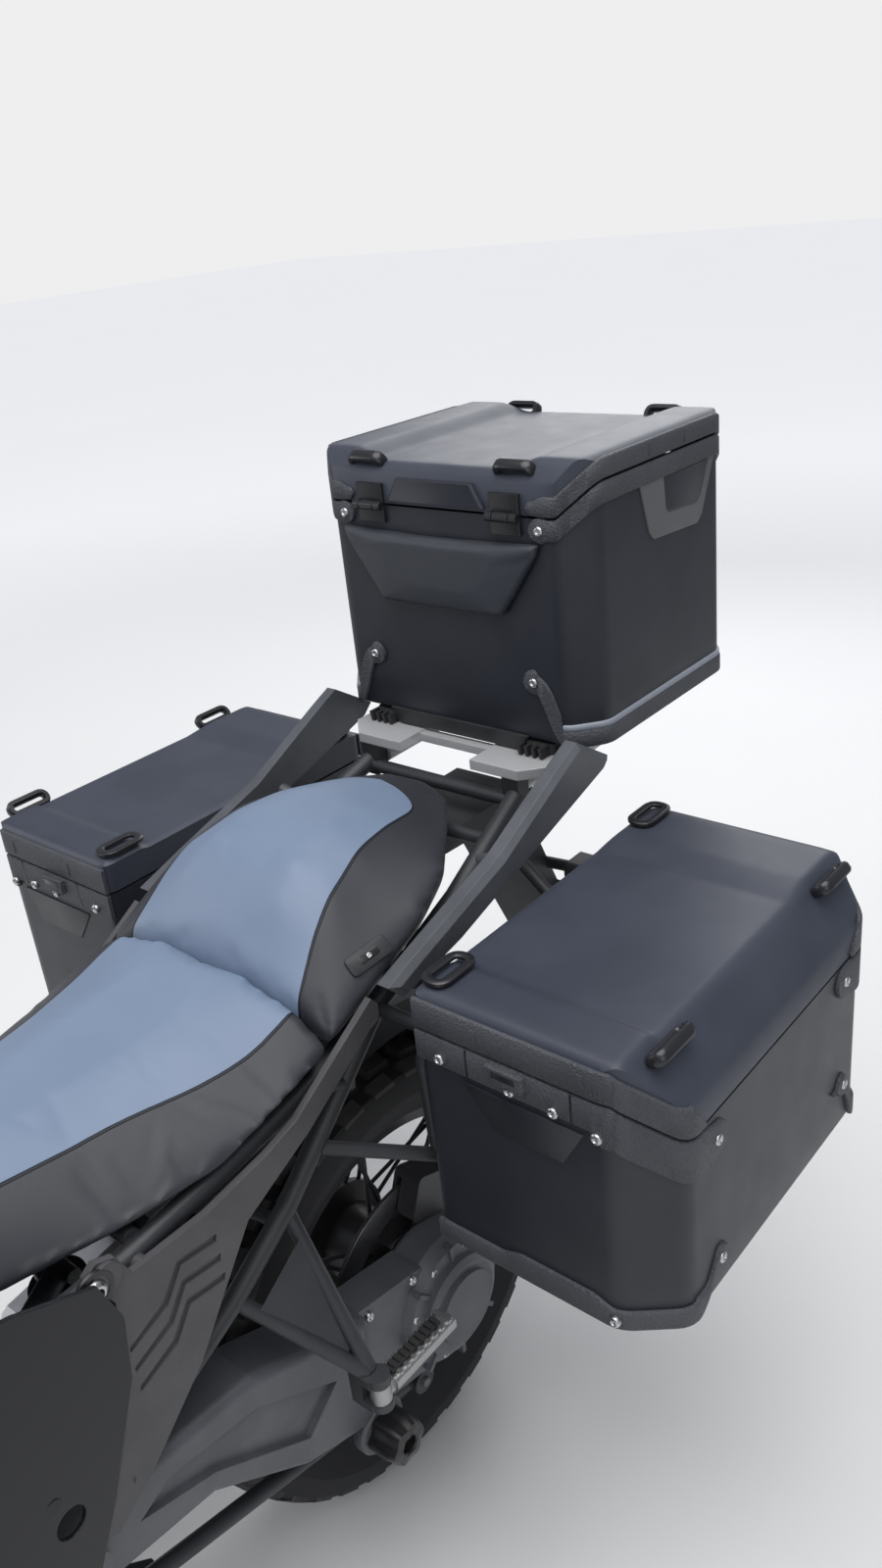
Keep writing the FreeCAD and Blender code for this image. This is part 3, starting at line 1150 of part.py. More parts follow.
def top_lid_form(shrink):
    """The top lid as a block, raised at its left and right ends."""
    top = TOP_TOP_Z - shrink
    front = TOP_FRONT_X - shrink
    rear = TOP_REAR_X + shrink
    half = TOP_HALF - shrink
    floor = TOP_SPLIT_Z - 60
    # x, z as seen from the left
    along = [(front, floor), (front, top - TOP_END_DROP), (front - 18, top), (rear + 18, top),
             (rear, top - TOP_END_DROP), (rear, floor)]
    # y, z as seen from ahead
    left = [(half, floor), (half, top - TOP_SIDE_DROP), (half - TOP_SIDE_DROP, top), (TOP_RAISED_Y, top),
            (TOP_TROUGH_Y, top - TOP_TROUGH)]
    across = left + [(-y, z) for y, z in reversed(left)]
    form = plan_plate(top_case_plan(shrink), floor, top + 1)
    form = form.common(side_plate(along, -TOP_HALF - 10, TOP_HALF + 10))
    return form.common(front_plate(across, TOP_REAR_X - 10, TOP_FRONT_X + 10))


def side_rims(low_z, high_z):
    """The thick textured bands round both ends of a side case, proud of its sheet."""
    band = plan_plate(side_case_plan(-RIM_PROUD), low_z, high_z)
    return band.cut(box(SIDE_REAR_X + SIDE_RIM_LONG, SIDE_FRONT_X - SIDE_RIM_LONG, -900, 900, low_z - 1,
                        high_z + 1))


def top_rims(low_z, high_z):
    """The bands along the top case's left and right sides, which end on its front and rear."""
    band = plan_plate(top_case_plan(-RIM_PROUD), low_z, high_z)
    return band.cut(box(TOP_REAR_X - 20, TOP_FRONT_X + 20, TOP_RIM_LONG - TOP_HALF, TOP_HALF - TOP_RIM_LONG,
                        low_z - 1, high_z + 1))


def hinge(axis_x, z, y, way, on_lid, half_width=25.0):
    """A pinned hinge outside the case: the base holds the middle knuckle and the pin."""
    middle = half_width * 0.5
    reach = KNUCKLE_R + RIM_PROUD + 1.5
    if on_lid:
        parts = []
        for side in (LEFT, RIGHT):
            near = y + side * (middle + 1)
            far = y + side * half_width
            knuckle = rod((axis_x, near, z), (axis_x, far, z), KNUCKLE_R)
            leaf = box(axis_x, axis_x - way * reach, near, far, z + 1, z + KNUCKLE_R)
            parts.append(fuse([knuckle, leaf]).cut(rod((axis_x, y - 60, z), (axis_x, y + 60, z),
                                                       HINGE_PIN_R + RUNNING_FIT)))
        return parts
    knuckle = rod((axis_x, y - middle, z), (axis_x, y + middle, z), KNUCKLE_R)
    leaf = box(axis_x, axis_x - way * reach, y - middle, y + middle, z - KNUCKLE_R, z - 1)
    pin = rod((axis_x, y - half_width - 1, z), (axis_x, y + half_width + 1, z), HINGE_PIN_R)
    return [fuse([knuckle, leaf, pin])]


def tie_eye(x, y, z, turn):
    """A raised flat loop that a strap goes through."""
    eye = box(-16, 16, -EYE_BAR / 2, EYE_BAR / 2, -1, EYE_TALL).fuse(box(-22, 22, -8, 8, -1, 2))
    eye.rotate(V(0, 0, 0), V(0, 0, 1), turn)
    eye.translate(V(x, y, z))
    return eye


def side_case():
    """The sheet body of the left side case with its end bands and bottom corners."""
    high = SIDE_SPLIT_Z + 1
    gap = SPLIT_GAP / 2
    lid_room = side_split_room(-gap)
    body = plan_plate(side_case_plan(), SIDE_LOW_Z, high).cut(lid_room)
    upper = side_rims(SIDE_SPLIT_Z - 120, high).common(side_split_room(-gap - SIDE_BASE_RIM)).cut(lid_room)
    lower = side_rims(SIDE_LOW_Z, SIDE_LOW_Z + RIM_TALL)
    lower = lower.cut(box(SIDE_REAR_X - 20, SIDE_FRONT_X + 20, SIDE_INNER_Y + 60, SIDE_OUTER_Y - 90,
                          SIDE_LOW_Z - 1, SIDE_LOW_Z + RIM_TALL + 1))
    # y, z of the shallow pressed shape on the front
    pressed = front_plate([(302, 808), (446, 808), (421, 760), (336, 760)], SIDE_FRONT_X - 1,
                          SIDE_FRONT_X + 2)
    knuckles = []
    for y in (SIDE_HINGE_Y - 65, SIDE_HINGE_Y + 65):
        knuckles += hinge(SIDE_HINGE_X, SIDE_SPLIT_Z, y, -1, False)
    space = plan_plate(side_case_plan(WALL), SIDE_LOW_Z + WALL, high + 20)
    return fuse([body, upper, lower, pressed] + knuckles).cut(space)


def side_lid():
    """The left side case's lid: raised ends, deep outer skirt, end bands, eyes and latch."""
    low = SIDE_SPLIT_Z + SPLIT_GAP / 2
    gap = SPLIT_GAP / 2
    room = side_split_room(gap)
    space = side_lid_form(WALL)
    shell = side_lid_form(0).common(room).cut(space)
    bands = side_rims(SIDE_SPLIT_Z - 120, SIDE_TOP_Z).common(room).cut(side_split_room(gap + SIDE_LID_RIM))
    eyes = [tie_eye(x, y, SIDE_TOP_Z, 0) for x, y in
            ((SIDE_FRONT_X - 42, SIDE_INNER_Y + 28), (SIDE_REAR_X + 46, SIDE_INNER_Y + 28),
             (SIDE_FRONT_X - 42, SIDE_OUTER_Y - 66), (SIDE_REAR_X + 46, SIDE_OUTER_Y - 66))]
    knuckles = []
    for y in (SIDE_HINGE_Y - 65, SIDE_HINGE_Y + 65):
        knuckles += hinge(SIDE_HINGE_X, SIDE_SPLIT_Z, y, -1, True)
    latch = box(SIDE_FRONT_X + RIM_PROUD - 1, SIDE_FRONT_X + RIM_PROUD + 6, SIDE_HINGE_Y - 24,
                SIDE_HINGE_Y + 24, low + 4, low + 22)
    tongue = box(SIDE_FRONT_X + RIM_PROUD + 1, SIDE_FRONT_X + RIM_PROUD + 6, SIDE_HINGE_Y - 14,
                 SIDE_HINGE_Y + 14, low - 26, low + 8)
    return fuse([shell, bands.cut(space)] + eyes + knuckles + [latch, tongue])


def top_case():
    """The sheet body of the top case, with bands at its left and right ends and hinge leaves."""
    high = TOP_SPLIT_Z + TOP_SIDE_RISE + 5
    gap = SPLIT_GAP / 2
    lid_room = top_split_room(-gap)
    body = plan_plate(top_case_plan(), TOP_LOW_Z, high).cut(lid_room)
    upper = top_rims(TOP_SPLIT_Z - 40, high).common(top_split_room(-gap - TOP_BASE_RIM)).cut(lid_room)
    lower = top_rims(TOP_LOW_Z, TOP_LOW_Z + RIM_TALL)
    knuckles = []
    for side in (LEFT, RIGHT):
        knuckles += hinge(TOP_HINGE_X, TOP_SPLIT_Z, side * TOP_HINGE_Y, 1, False, 22)
    catch = box(TOP_REAR_X - 6, TOP_REAR_X + 1, -40, 40, TOP_SPLIT_Z - 62, TOP_SPLIT_Z - 34)
    space = plan_plate(top_case_plan(WALL), TOP_LOW_Z + WALL, high + 20)
    return fuse([body, upper, lower, catch] + knuckles).cut(space)


def top_case_lid():
    """The top case's lid opens forward on two hinges, with its latch at the rear."""
    low = TOP_SPLIT_Z + SPLIT_GAP / 2
    room = top_split_room(SPLIT_GAP / 2)
    space = top_lid_form(WALL)
    shell = top_lid_form(0).common(room).cut(space)
    above = top_split_room(SPLIT_GAP / 2 + TOP_LID_RIM)
    bands = top_rims(TOP_SPLIT_Z - 40, TOP_TOP_Z).common(room).cut(above)
    eyes = [tie_eye(x, side * (TOP_RAISED_Y + 24), TOP_TOP_Z, 90) for side in (LEFT, RIGHT)
            for x in (TOP_FRONT_X - 56, TOP_REAR_X + 56)]
    knuckles = []
    for side in (LEFT, RIGHT):
        knuckles += hinge(TOP_HINGE_X, TOP_SPLIT_Z, side * TOP_HINGE_Y, 1, True, 22)
    bump = front_plate([(-58, low + 4), (58, low + 4), (44, low + 26), (-44, low + 26)], TOP_FRONT_X - 1,
                       TOP_FRONT_X + 7)
    latch = box(TOP_REAR_X - LATCH_PROUD, TOP_REAR_X + 1, -34, 34, low + 4, low + 24)
    tongue = box(TOP_REAR_X - LATCH_PROUD, TOP_REAR_X - 2, -20, 20, low - 30, low + 8)
    return fuse([shell, bands.cut(space)] + eyes + knuckles + [bump, latch, tongue])


def back_pad():
    """The soft pad on the front of the top case for the passenger's back."""
    top = TOP_SPLIT_Z - TOP_BASE_RIM - 7
    # y, z
    outline = [(-150, top), (150, top), (142, top - 18), (92, top - 90), (-92, top - 90), (-142, top - 18)]
    pad = front_plate(outline, TOP_FRONT_X + SEAT_GAP, TOP_FRONT_X + SEAT_GAP + 14)
    return rounded(pad, 5, lambda e: edge_middle(e).x > TOP_FRONT_X + SEAT_GAP + 13.9)


def carrier_plate():
    """The cast plate behind the seat: two padded arms with a bridge and an open middle."""
    half = [(-245, 58), (-245, 129), (-277, 161), (-560, 161), (-600, 120)]
    outline = half + [(x, -y) for x, y in reversed(half)]
    plate = plan_plate(outline, PLATE_LOW_Z, PLATE_LOW_Z + PLATE_T)
    window = plan_plate([(-230, -57), (-230, 57), (-330, 57), (-360, 30), (-360, -30), (-330, -57)],
                        PLATE_LOW_Z - 5, PLATE_LOW_Z + PLATE_T + 5)
    slot = plan_plate([(-400, -90), (-400, 90), (-540, 90), (-540, -90)], PLATE_LOW_Z - 5,
                      PLATE_LOW_Z + PLATE_T + 5)
    bridge = box(-300, -284, -60, 60, PLATE_LOW_Z, PLATE_LOW_Z + PLATE_T - 2)
    plate = plate.cut(window).cut(slot)
    rests = []
    for side in (LEFT, RIGHT):
        rests.append(rod((-420, side * 110, PLATE_LOW_Z - 30), (-420, side * 110, PLATE_LOW_Z + 2), 14))
        rests.append(rod((-420, side * 110, PLATE_LOW_Z - 24), (-266, side * 108, PLATE_LOW_Z - 24), 9)
                     .cut(box(-269, -200, -300, 300, 800, PLATE_LOW_Z)))
    return fuse([plate, bridge] + rests)


def case_adapter():
    """Octagonal pads and ribbed feet between the carrier plate and the top case."""
    base = PLATE_LOW_Z + PLATE_T + SEAT_GAP
    top = TOP_LOW_Z - SEAT_GAP
    parts = [box(-560, -330, -30, 30, top - 6, top)]
    for side in (LEFT, RIGHT):
        for x in (-314, -560):
            eight = [(x + 24 * math.cos(math.radians(22.5 + 45 * k)),
                      side * 122 + 24 * math.sin(math.radians(22.5 + 45 * k))) for k in range(8)]
            parts.append(plan_plate(eight, base, top))
        parts.append(box(-560, -314, side * 112, side * 132, top - 6, top))
        for x in (-340, -540):
            parts.append(box(x - 10, x + 10, 0, side * 122, top - 6, top))
    return fuse(parts)


def case_racks():
    """A tube loop inside each side case, on arms to the rear frame, with the case's four rests."""
    high_z = 816
    low_z = 634
    # x, z of the loop's front half, and of its rear half
    front_half = [(-100, high_z), (74, high_z), (66, low_z), (-100, low_z)]
    rear_half = [(-100, low_z), (-250, low_z), (-310, high_z), (-100, high_z)]
    frame = [tube([(x, RACK_Y, z) for x, z in half], RACK_R, 45) for half in (front_half, rear_half)]
    rests = []
    for x, z in ((60, 780), (40, low_z), (-220, low_z), (-290, 790)):
        rests.append(rod((x, RACK_Y - 2, z), (x, SIDE_INNER_Y - SEAT_GAP, z), 14))
    arms = [rod((60, RACK_Y, 814), (60, 150, 812), 8), rod((-196, RACK_Y, 814), (-196, 128, 896), 8),
            rod((66, RACK_Y, 650), (170, 152, 702), 8)]
    clear = fuse([tube(RAIL_TUBE, RAIL_R + SEAT_GAP, 70), strut_tube(STRUT_R + SEAT_GAP)])
    rack = fuse(frame + rests + arms).cut(clear)
    rack = sorted(rack.Solids, key=lambda s: s.Volume)[-1]
    return Part.makeCompound([rack, mirrored(rack)])


def passenger_peg():
    """Shown folded back: a serrated bar with an eye round its upright pin."""
    eye = ring((PEG_X, PEG_Y, PEG_Z - 12), (PEG_X, PEG_Y, PEG_Z + 12), 12, PEG_PIN_R + RUNNING_FIT)
    bar = box(PEG_X - 112, PEG_X - 14, PEG_Y - 13, PEG_Y + 13, PEG_Z - 9, PEG_Z + 9)
    bar = rounded(bar, 6, lambda e: runs_along(e, 0))
    neck = box(PEG_X - 20, PEG_X - 9, PEG_Y - 8, PEG_Y + 8, PEG_Z - 9, PEG_Z + 9)
    teeth = []
    for x in range(8):
        left = PEG_X - 106 + x * 11.5
        teeth.append(box(left, left + 5, PEG_Y - 12, PEG_Y + 12, PEG_Z + 8, PEG_Z + 12))
    return fuse([eye, bar, neck] + teeth)


def rider_peg():
    """A sprung folding peg with its eye round a fore and aft pin."""
    eye = ring((RIDER_PEG_X - 12, RIDER_PEG_Y, RIDER_PEG_Z), (RIDER_PEG_X + 12, RIDER_PEG_Y, RIDER_PEG_Z),
               10, PEG_PIN_R + RUNNING_FIT)
    bar = box(RIDER_PEG_X - 22, RIDER_PEG_X + 22, RIDER_PEG_Y + 16, RIDER_PEG_Y + 118, RIDER_PEG_Z - 8,
              RIDER_PEG_Z + 8)
    bar = rounded(bar, 10, lambda e: runs_along(e, 2))
    neck = box(RIDER_PEG_X - 11, RIDER_PEG_X + 11, RIDER_PEG_Y + 7, RIDER_PEG_Y + 18, RIDER_PEG_Z - 8,
               RIDER_PEG_Z + 8)
    teeth = []
    for k in range(7):
        y = RIDER_PEG_Y + 24 + k * 13
        teeth.append(box(RIDER_PEG_X - 20, RIDER_PEG_X + 20, y, y + 5, RIDER_PEG_Z + 7, RIDER_PEG_Z + 13))
    return fuse([eye, bar, neck] + teeth)


def centre_stand():
    """Shown down: two splayed legs with feet, a cross tube and the foot lever on the left."""
    parts = [rod((STAND_PIVOT_X, -STAND_EYE_Y - 20, STAND_PIVOT_Z),
                 (STAND_PIVOT_X, STAND_EYE_Y + 20, STAND_PIVOT_Z), STAND_PIN_R)]
    for side in (LEFT, RIGHT):
        parts.append(rod((STAND_PIVOT_X, side * STAND_EYE_Y, STAND_PIVOT_Z),
                         (STAND_PIVOT_X, side * (STAND_EYE_Y + 20), STAND_PIVOT_Z), 18))
        parts.append(tube([(STAND_PIVOT_X, side * (STAND_EYE_Y + 10), STAND_PIVOT_Z),
                           (STAND_PIVOT_X + 10, side * (STAND_EYE_Y + 16), 200),
                           (STAND_FOOT_X - 2, side * (STAND_HALF + 8), 12)], STAND_TUBE_R, 60))
        # x, z as seen from the left
        foot = [(STAND_FOOT_X - 34, 10), (STAND_FOOT_X - 24, 0), (STAND_FOOT_X + 18, 0),
                (STAND_FOOT_X + 34, 14), (STAND_FOOT_X + 18, 22), (STAND_FOOT_X - 26, 18)]
        parts.append(side_plate(foot, side * (STAND_HALF - 8), side * (STAND_HALF + 26)))
    parts.append(rod((STAND_PIVOT_X + 19, -STAND_HALF + 12, 168),
                     (STAND_PIVOT_X + 19, STAND_HALF - 12, 168), 10))
    parts.append(tube([(STAND_FOOT_X - 8, STAND_HALF + 4, 62), (STAND_FOOT_X - 60, STAND_HALF + 24, 56),
                       (STAND_FOOT_X - 128, STAND_HALF + 36, 60)], 7, 30))
    return fuse(parts)


def side_stand():
    """Drawn down, then folded back along the left side."""
    way = side_stand_way()
    pivot = V(SIDE_STAND_X, SIDE_STAND_Y, SIDE_STAND_Z)
    eye = Part.makeCylinder(15, 16, pivot - way * 8, way)
    eye = eye.cut(Part.makeCylinder(SIDE_STAND_PIN_R + RUNNING_FIT, 40, pivot - way * 20, way))
    down = V(-1, 0, 0)
    turn = FreeCAD.Rotation(way, -STAND_SWING)
    down = turn.multVec(down)
    foot_at = pivot + down * SIDE_STAND_LENGTH
    leg = rod(tuple(pivot + down * 12), tuple(foot_at), 10)
    foot = box(foot_at.x - 26, foot_at.x + 30, foot_at.y - 20, foot_at.y + 26, foot_at.z - 5, foot_at.z + 3)
    foot = rounded(foot, 14, lambda e: runs_along(e, 2))
    stand = fuse([eye, leg, foot])
    stand.rotate(pivot, way, STAND_SWING)
    return stand


def exhaust():
    """Two header pipes into a box under the gearbox, and the silencer low on the right."""
    port_z = CYL_Z - 84 - SEAT_GAP
    parts = []
    for side in (LEFT, RIGHT):
        parts.append(tube([(CYL_X, side * 312, port_z), (CYL_X - 4, side * 312, 318),
                           (CYL_X - 46, side * 214, 240), (760, side * 150, 236), (690, side * 60, 231)],
                          PIPE_R, 80))
        parts.append(rod((CYL_X, side * 312, port_z), (CYL_X, side * 312, port_z - 14), 28))
    box_shape = box(566, 704, -78, 78, 208, 254)
    parts.append(rounded(box_shape, 14, lambda e: runs_along(e, 1)))
    parts.append(tube([(620, -60, 231), (608, -150, 240), (556, -204, 276), (470, -216, 330),
                       (380, -216, 356)], PIPE_R, 70))
    sections = []
    for x, z, grow in ((398, 354, -18), (372, 358, 0), (-96, 426, 0), (-128, 431, -10)):
        half_y = 46 + grow
        half_z = 50 + grow
        eight = [(half_y, -half_z * 0.45), (half_y, half_z * 0.45), (half_y * 0.5, half_z),
                 (-half_y * 0.5, half_z), (-half_y, half_z * 0.45), (-half_y, -half_z * 0.45),
                 (-half_y * 0.5, -half_z), (half_y * 0.5, -half_z)]
        sections.append([V(x, -222 + y, z + up) for y, up in eight])
    parts.append(loft(sections))
    parts.append(rod((150, -206, 434), (196, -156, 664), 7))
    strut = mirrored(strut_tube(STRUT_R + SEAT_GAP))
    outlet = rod((-90, -222, 426), (-150, -222, 434), 20)
    head_face = box(CYL_X - 60, CYL_X + 60, -400, 400, port_z, port_z + 40)
    whole = fuse(parts).cut(strut).cut(outlet).cut(head_face)
    return sorted(whole.Solids, key=lambda s: s.Volume)[-1]


def skid_plate():
    """A bent plate under the engine, on four posts."""
    # x, z as seen from the left
    outline = [(640, 190), (1040, 190), (1122, 250), (1146, 400), (1138, 402), (1114, 256), (1036, 198),
               (640, 198)]
    plate = side_plate(outline, -118, 118)
    parts = [plate]
    for side in (LEFT, RIGHT):
        parts.append(side_plate([(800, 190), (1036, 190), (1090, 226), (1040, 246), (830, 222)],
                                side * 112, side * 118))
        for x in (830, 980):
            parts.append(rod((x, side * 90, 194), (x, side * 90, 262 - SEAT_GAP), 9))
    return fuse(parts)


def crash_bars():
    """A bent tube round each cylinder, from the frame's down tube to the lower crankcase."""
    bars = []
    for side in (LEFT, RIGHT):
        start = (1096, side * (102 + FRAME_R), 668)
        end = (1000, side * (CASE_HALF + SEAT_GAP), 330)
        bar = tube([start, (1084, side * 260, 640), (1058, side * 424, 560), (1054, side * 428, 440),
                    (1044, side * 330, 352), end], 12.5, 70)
        down_tube = tube([(x, side * y, z) for x, y, z in DOWN_TUBE], FRAME_R + SEAT_GAP, 50)
        case_side = box(900, 1200, side * 40, side * (CASE_HALF + SEAT_GAP), 200, 560)
        bars.append(bar.cut(down_tube).cut(case_side))
    return Part.makeCompound(bars)


def tail_unit():
    """The tail under the carrier with its lamp, number plate holder and two indicators."""
    # x, z as seen from the left
    arm = [(-170, 856), (-170, 880), (-300, 880), (-352, 830), (-458, 590), (-452, 566), (-440, 566),
           (-430, 590), (-330, 800), (-280, 850)]
    parts = [side_plate(arm, -58, 58)]
    parts.append(rounded(box(-372, -330, -70, 70, 826, 868), 8, lambda e: runs_along(e, 1)))
    for side in (LEFT, RIGHT):
        parts.append(rod((-392, side * 50, 740), (-396, side * 120, 744), 8))
        parts.append(rounded(box(-420, -372, side * 96, side * 150, 732, 758), 10,
                             lambda e: runs_along(e, 1)))
    plate = box(-4, 0, -PLATE_HALF, PLATE_HALF, 0, PLATE_TALL)
    for side in (LEFT, RIGHT):
        plate = plate.cut(rod((-10, side * PLATE_HOLE_Y, PLATE_TALL - 24),
                              (10, side * PLATE_HOLE_Y, PLATE_TALL - 24), PLATE_HOLE_R))
    plate.rotate(V(0, 0, 0), V(0, 1, 0), math.degrees(math.atan2(106, 240)))
    plate.translate(V(-466, 0, 566))
    cross_tube = rod((-190, -158, TAIL_TUBE_Z), (-190, 158, TAIL_TUBE_Z), 8 + SEAT_GAP)
    return fuse(parts + [plate]).cut(cross_tube)


def inner_fender():
    """A thin guard between the rear tyre and the seat, held at the frame's cross tube."""
    r = 372.0
    guard = turned([(r, -96), (r + 10, -60), (r + 10, 60), (r, 96), (r - 3, 93), (r + 7, 58), (r + 7, -58),
                    (r - 3, -93)], 0, REAR_AXLE_Z, 48, 96)
    ties = [rod((235, side * 50, 629), (235, side * 150, 651), 7) for side in (LEFT, RIGHT)]
    strut = strut_tube(STRUT_R + SEAT_GAP)
    return fuse([guard] + ties).cut(strut).cut(mirrored(strut))


NODES = {
    "rear_tyre": rear_tyre,
    "rear_wheel": rear_wheel,
    "rear_disc": rear_disc,
    "front_tyre": front_tyre,
    "front_wheel": front_wheel,
    "front_discs": front_discs,
    "front_calipers": front_calipers,
    "rear_caliper": rear_caliper,
    "final_drive": final_drive,
    "swing_arm": swing_arm,
    "torque_rod": torque_rod,
    "shock": shock,
    "engine_case": engine_case,
    "cylinders": lambda: Part.makeCompound([cylinder(LEFT), cylinder(RIGHT)]),
    "main_frame": main_frame,
    "rear_subframe": rear_subframe,
    "front_axle": front_axle,
    "fork_sliders": fork_sliders,
    "fork_upper": fork_upper,
    "handlebar": handlebar,
    "handguards": handguards,
    "mirrors": mirrors,
    "front_mudguard": front_mudguard,
    "headlight": headlight,
    "front_fairing": front_fairing,
    "windscreen": windscreen,
    "instruments": instruments,
    "fuel_tank": fuel_tank,
    "tank_panels": tank_panels,
    "rider_seat": rider_seat,
    "pillion_seat": pillion_seat,
    "grab_rails": grab_rails,
    "side_trims": side_trims,
    "side_case_left": side_case,
    "side_case_right": lambda: mirrored(side_case()),
    "side_lid_left": side_lid,
    "side_lid_right": lambda: mirrored(side_lid()),
    "top_case": top_case,
    "top_case_lid": top_case_lid,
    "back_pad": back_pad,
    "carrier_plate": carrier_plate,
    "case_adapter": case_adapter,
    "case_racks": case_racks,
    "passenger_peg_left": passenger_peg,
    "passenger_peg_right": lambda: mirrored(passenger_peg()),
    "rider_peg_left": rider_peg,
    "rider_peg_right": lambda: mirrored(rider_peg()),
    "centre_stand": centre_stand,
    "side_stand": side_stand,
    "exhaust": exhaust,
    "skid_plate": skid_plate,
    "crash_bars": crash_bars,
    "tail_unit": tail_unit,
    "inner_fender": inner_fender,
}

os.makedirs("parts", exist_ok=True)
for name, build in NODES.items():
    shape = build()
    shape.translate(V(-ORIGIN_X, 0, 0))
    shape.exportStep("parts/" + name + ".step")
    print(name, len(shape.Solids), "solid(s)", round(shape.Volume / 1000), "cm3", shape.isValid())
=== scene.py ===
"""Looks of a flat-twin adventure motorcycle with hard cases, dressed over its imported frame.

Metres. X runs forward, Y to the rider's left and Z up. Distances along the motorcycle are written
from the rear axle, as the maker's drawing has them, and place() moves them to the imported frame.
"""
import math

import bmesh
import bpy
import numpy as np
from mathutils import Matrix, Vector


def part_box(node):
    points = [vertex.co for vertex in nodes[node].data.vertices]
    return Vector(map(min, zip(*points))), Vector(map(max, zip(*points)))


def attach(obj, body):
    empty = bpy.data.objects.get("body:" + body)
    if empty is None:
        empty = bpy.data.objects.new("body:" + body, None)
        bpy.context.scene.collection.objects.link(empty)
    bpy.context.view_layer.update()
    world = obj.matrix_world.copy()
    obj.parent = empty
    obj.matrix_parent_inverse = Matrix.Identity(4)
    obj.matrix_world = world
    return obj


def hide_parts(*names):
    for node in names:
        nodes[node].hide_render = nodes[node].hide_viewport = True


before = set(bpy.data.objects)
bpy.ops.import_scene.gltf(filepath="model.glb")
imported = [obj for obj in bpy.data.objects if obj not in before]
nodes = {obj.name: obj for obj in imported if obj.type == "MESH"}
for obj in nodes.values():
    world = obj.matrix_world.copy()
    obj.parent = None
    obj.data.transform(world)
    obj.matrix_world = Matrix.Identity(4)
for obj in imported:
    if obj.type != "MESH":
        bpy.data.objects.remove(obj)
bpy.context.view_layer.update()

# Where the motorcycle stands.
# A plain pale floor under the wheels and the photograph's own standpoint: ahead of the rear wheel on
# the left, at head height, looking back and down. Distances are from the rear axle.
AXLE_LOW, AXLE_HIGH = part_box("rear_disc")
AXLE_X = (AXLE_LOW.x + AXLE_HIGH.x) / 2
AXLE_Z = (AXLE_LOW.z + AXLE_HIGH.z) / 2
LEFT = 1
RIGHT = -1
CAMERA_PLACE = (0.8208, 0.972, 1.5909)
CAMERA_AZIMUTH = math.radians(222.18)
CAMERA_PITCH = math.radians(-25.26)
CAMERA_ROLL = math.radians(-6.27)
CAMERA_LENS = 28.85
FILM = 36.0
FLOOR_SIZE = 30.0
FLOOR_Z = -0.0005
FLOOR_COLOUR = (0.78, 0.78, 0.77)
FLOOR_CLOUDS = (0.74, 0.74, 0.735)
FAR_FLOOR_GLOW = (0.62, 0.62, 0.63)
FADE_REACH = 4.0
FADE_WIDTH = 7.0
SKY_LIGHT = (0.25, 0.265, 0.30, 1)
BACKDROP = (0.86, 0.86, 0.87, 1)


def place(x, y, z):
    """A point given from the rear axle and the ground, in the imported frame."""
    return Vector((x + AXLE_X, y, z))


def new_object(name, mesh):
    thing = bpy.data.objects.new(name, mesh)
    bpy.context.scene.collection.objects.link(thing)
    return thing


def mesh_from(name, verts, faces):
    mesh = bpy.data.meshes.new(name)
    mesh.from_pydata([tuple(v) for v in verts], [], faces)
    mesh.update()
    return mesh


forward = Vector((math.cos(CAMERA_AZIMUTH) * math.cos(CAMERA_PITCH),
                  math.sin(CAMERA_AZIMUTH) * math.cos(CAMERA_PITCH), math.sin(CAMERA_PITCH)))
level = forward.cross(Vector((0, 0, 1))).normalized()
upward = level.cross(forward)
across = level * math.cos(CAMERA_ROLL) + upward * math.sin(CAMERA_ROLL)
above = upward * math.cos(CAMERA_ROLL) - level * math.sin(CAMERA_ROLL)
camera_data = bpy.data.cameras.new("camera")
camera_data.sensor_fit = "VERTICAL"
camera_data.sensor_height = FILM
camera_data.lens = CAMERA_LENS
camera = new_object("camera", camera_data)
turn = Matrix((across, above, -forward)).transposed()
camera.matrix_world = Matrix.Translation(place(*CAMERA_PLACE)) @ turn.to_4x4()
bpy.context.scene.camera = camera

floor_corners = [(x * FLOOR_SIZE, y * FLOOR_SIZE, FLOOR_Z) for x, y in ((-1, -1), (1, -1), (1, 1), (-1, 1))]
floor = new_object("floor", mesh_from("floor", floor_corners, [(0, 1, 2, 3)]))

# name, place, aimed at, size, power in watts
LAMPS = (("sky_lamp", (0.2, 0.6, 4.2), (0.2, 0, 0.7), 4.2, 175),
         ("left_lamp", (1.6, 3.6, 2.2), (0, 0.2, 0.7), 2.6, 26),
         ("rear_lamp", (-3.6, -1.2, 2.6), (0, 0, 0.9), 2.4, 40),
         ("right_lamp", (1.4, -3.8, 2.2), (0.4, 0, 0.7), 2.6, 36))
for name, spot, aim, size, power in LAMPS:
    lamp_data = bpy.data.lights.new(name, "AREA")
    lamp_data.shape = "DISK"
    lamp_data.size = size
    lamp_data.energy = power
    lamp = new_object(name, lamp_data)
    lamp.location = spot
    lamp.rotation_euler = (Vector(aim) - Vector(spot)).to_track_quat("-Z", "Y").to_euler()
world = bpy.data.worlds.new("studio")
bpy.context.scene.world = world
world.use_nodes = True
sky = world.node_tree.nodes["Background"]
sky.inputs["Strength"].default_value = 1.0
sky_path = world.node_tree.nodes.new("ShaderNodeLightPath")
sky_mix = world.node_tree.nodes.new("ShaderNodeMix")
sky_mix.data_type = "RGBA"
sky_mix.inputs[6].default_value = SKY_LIGHT
sky_mix.inputs[7].default_value = BACKDROP
world.node_tree.links.new(sky_path.outputs["Is Camera Ray"], sky_mix.inputs[0])
world.node_tree.links.new(sky_mix.outputs[2], sky.inputs["Color"])
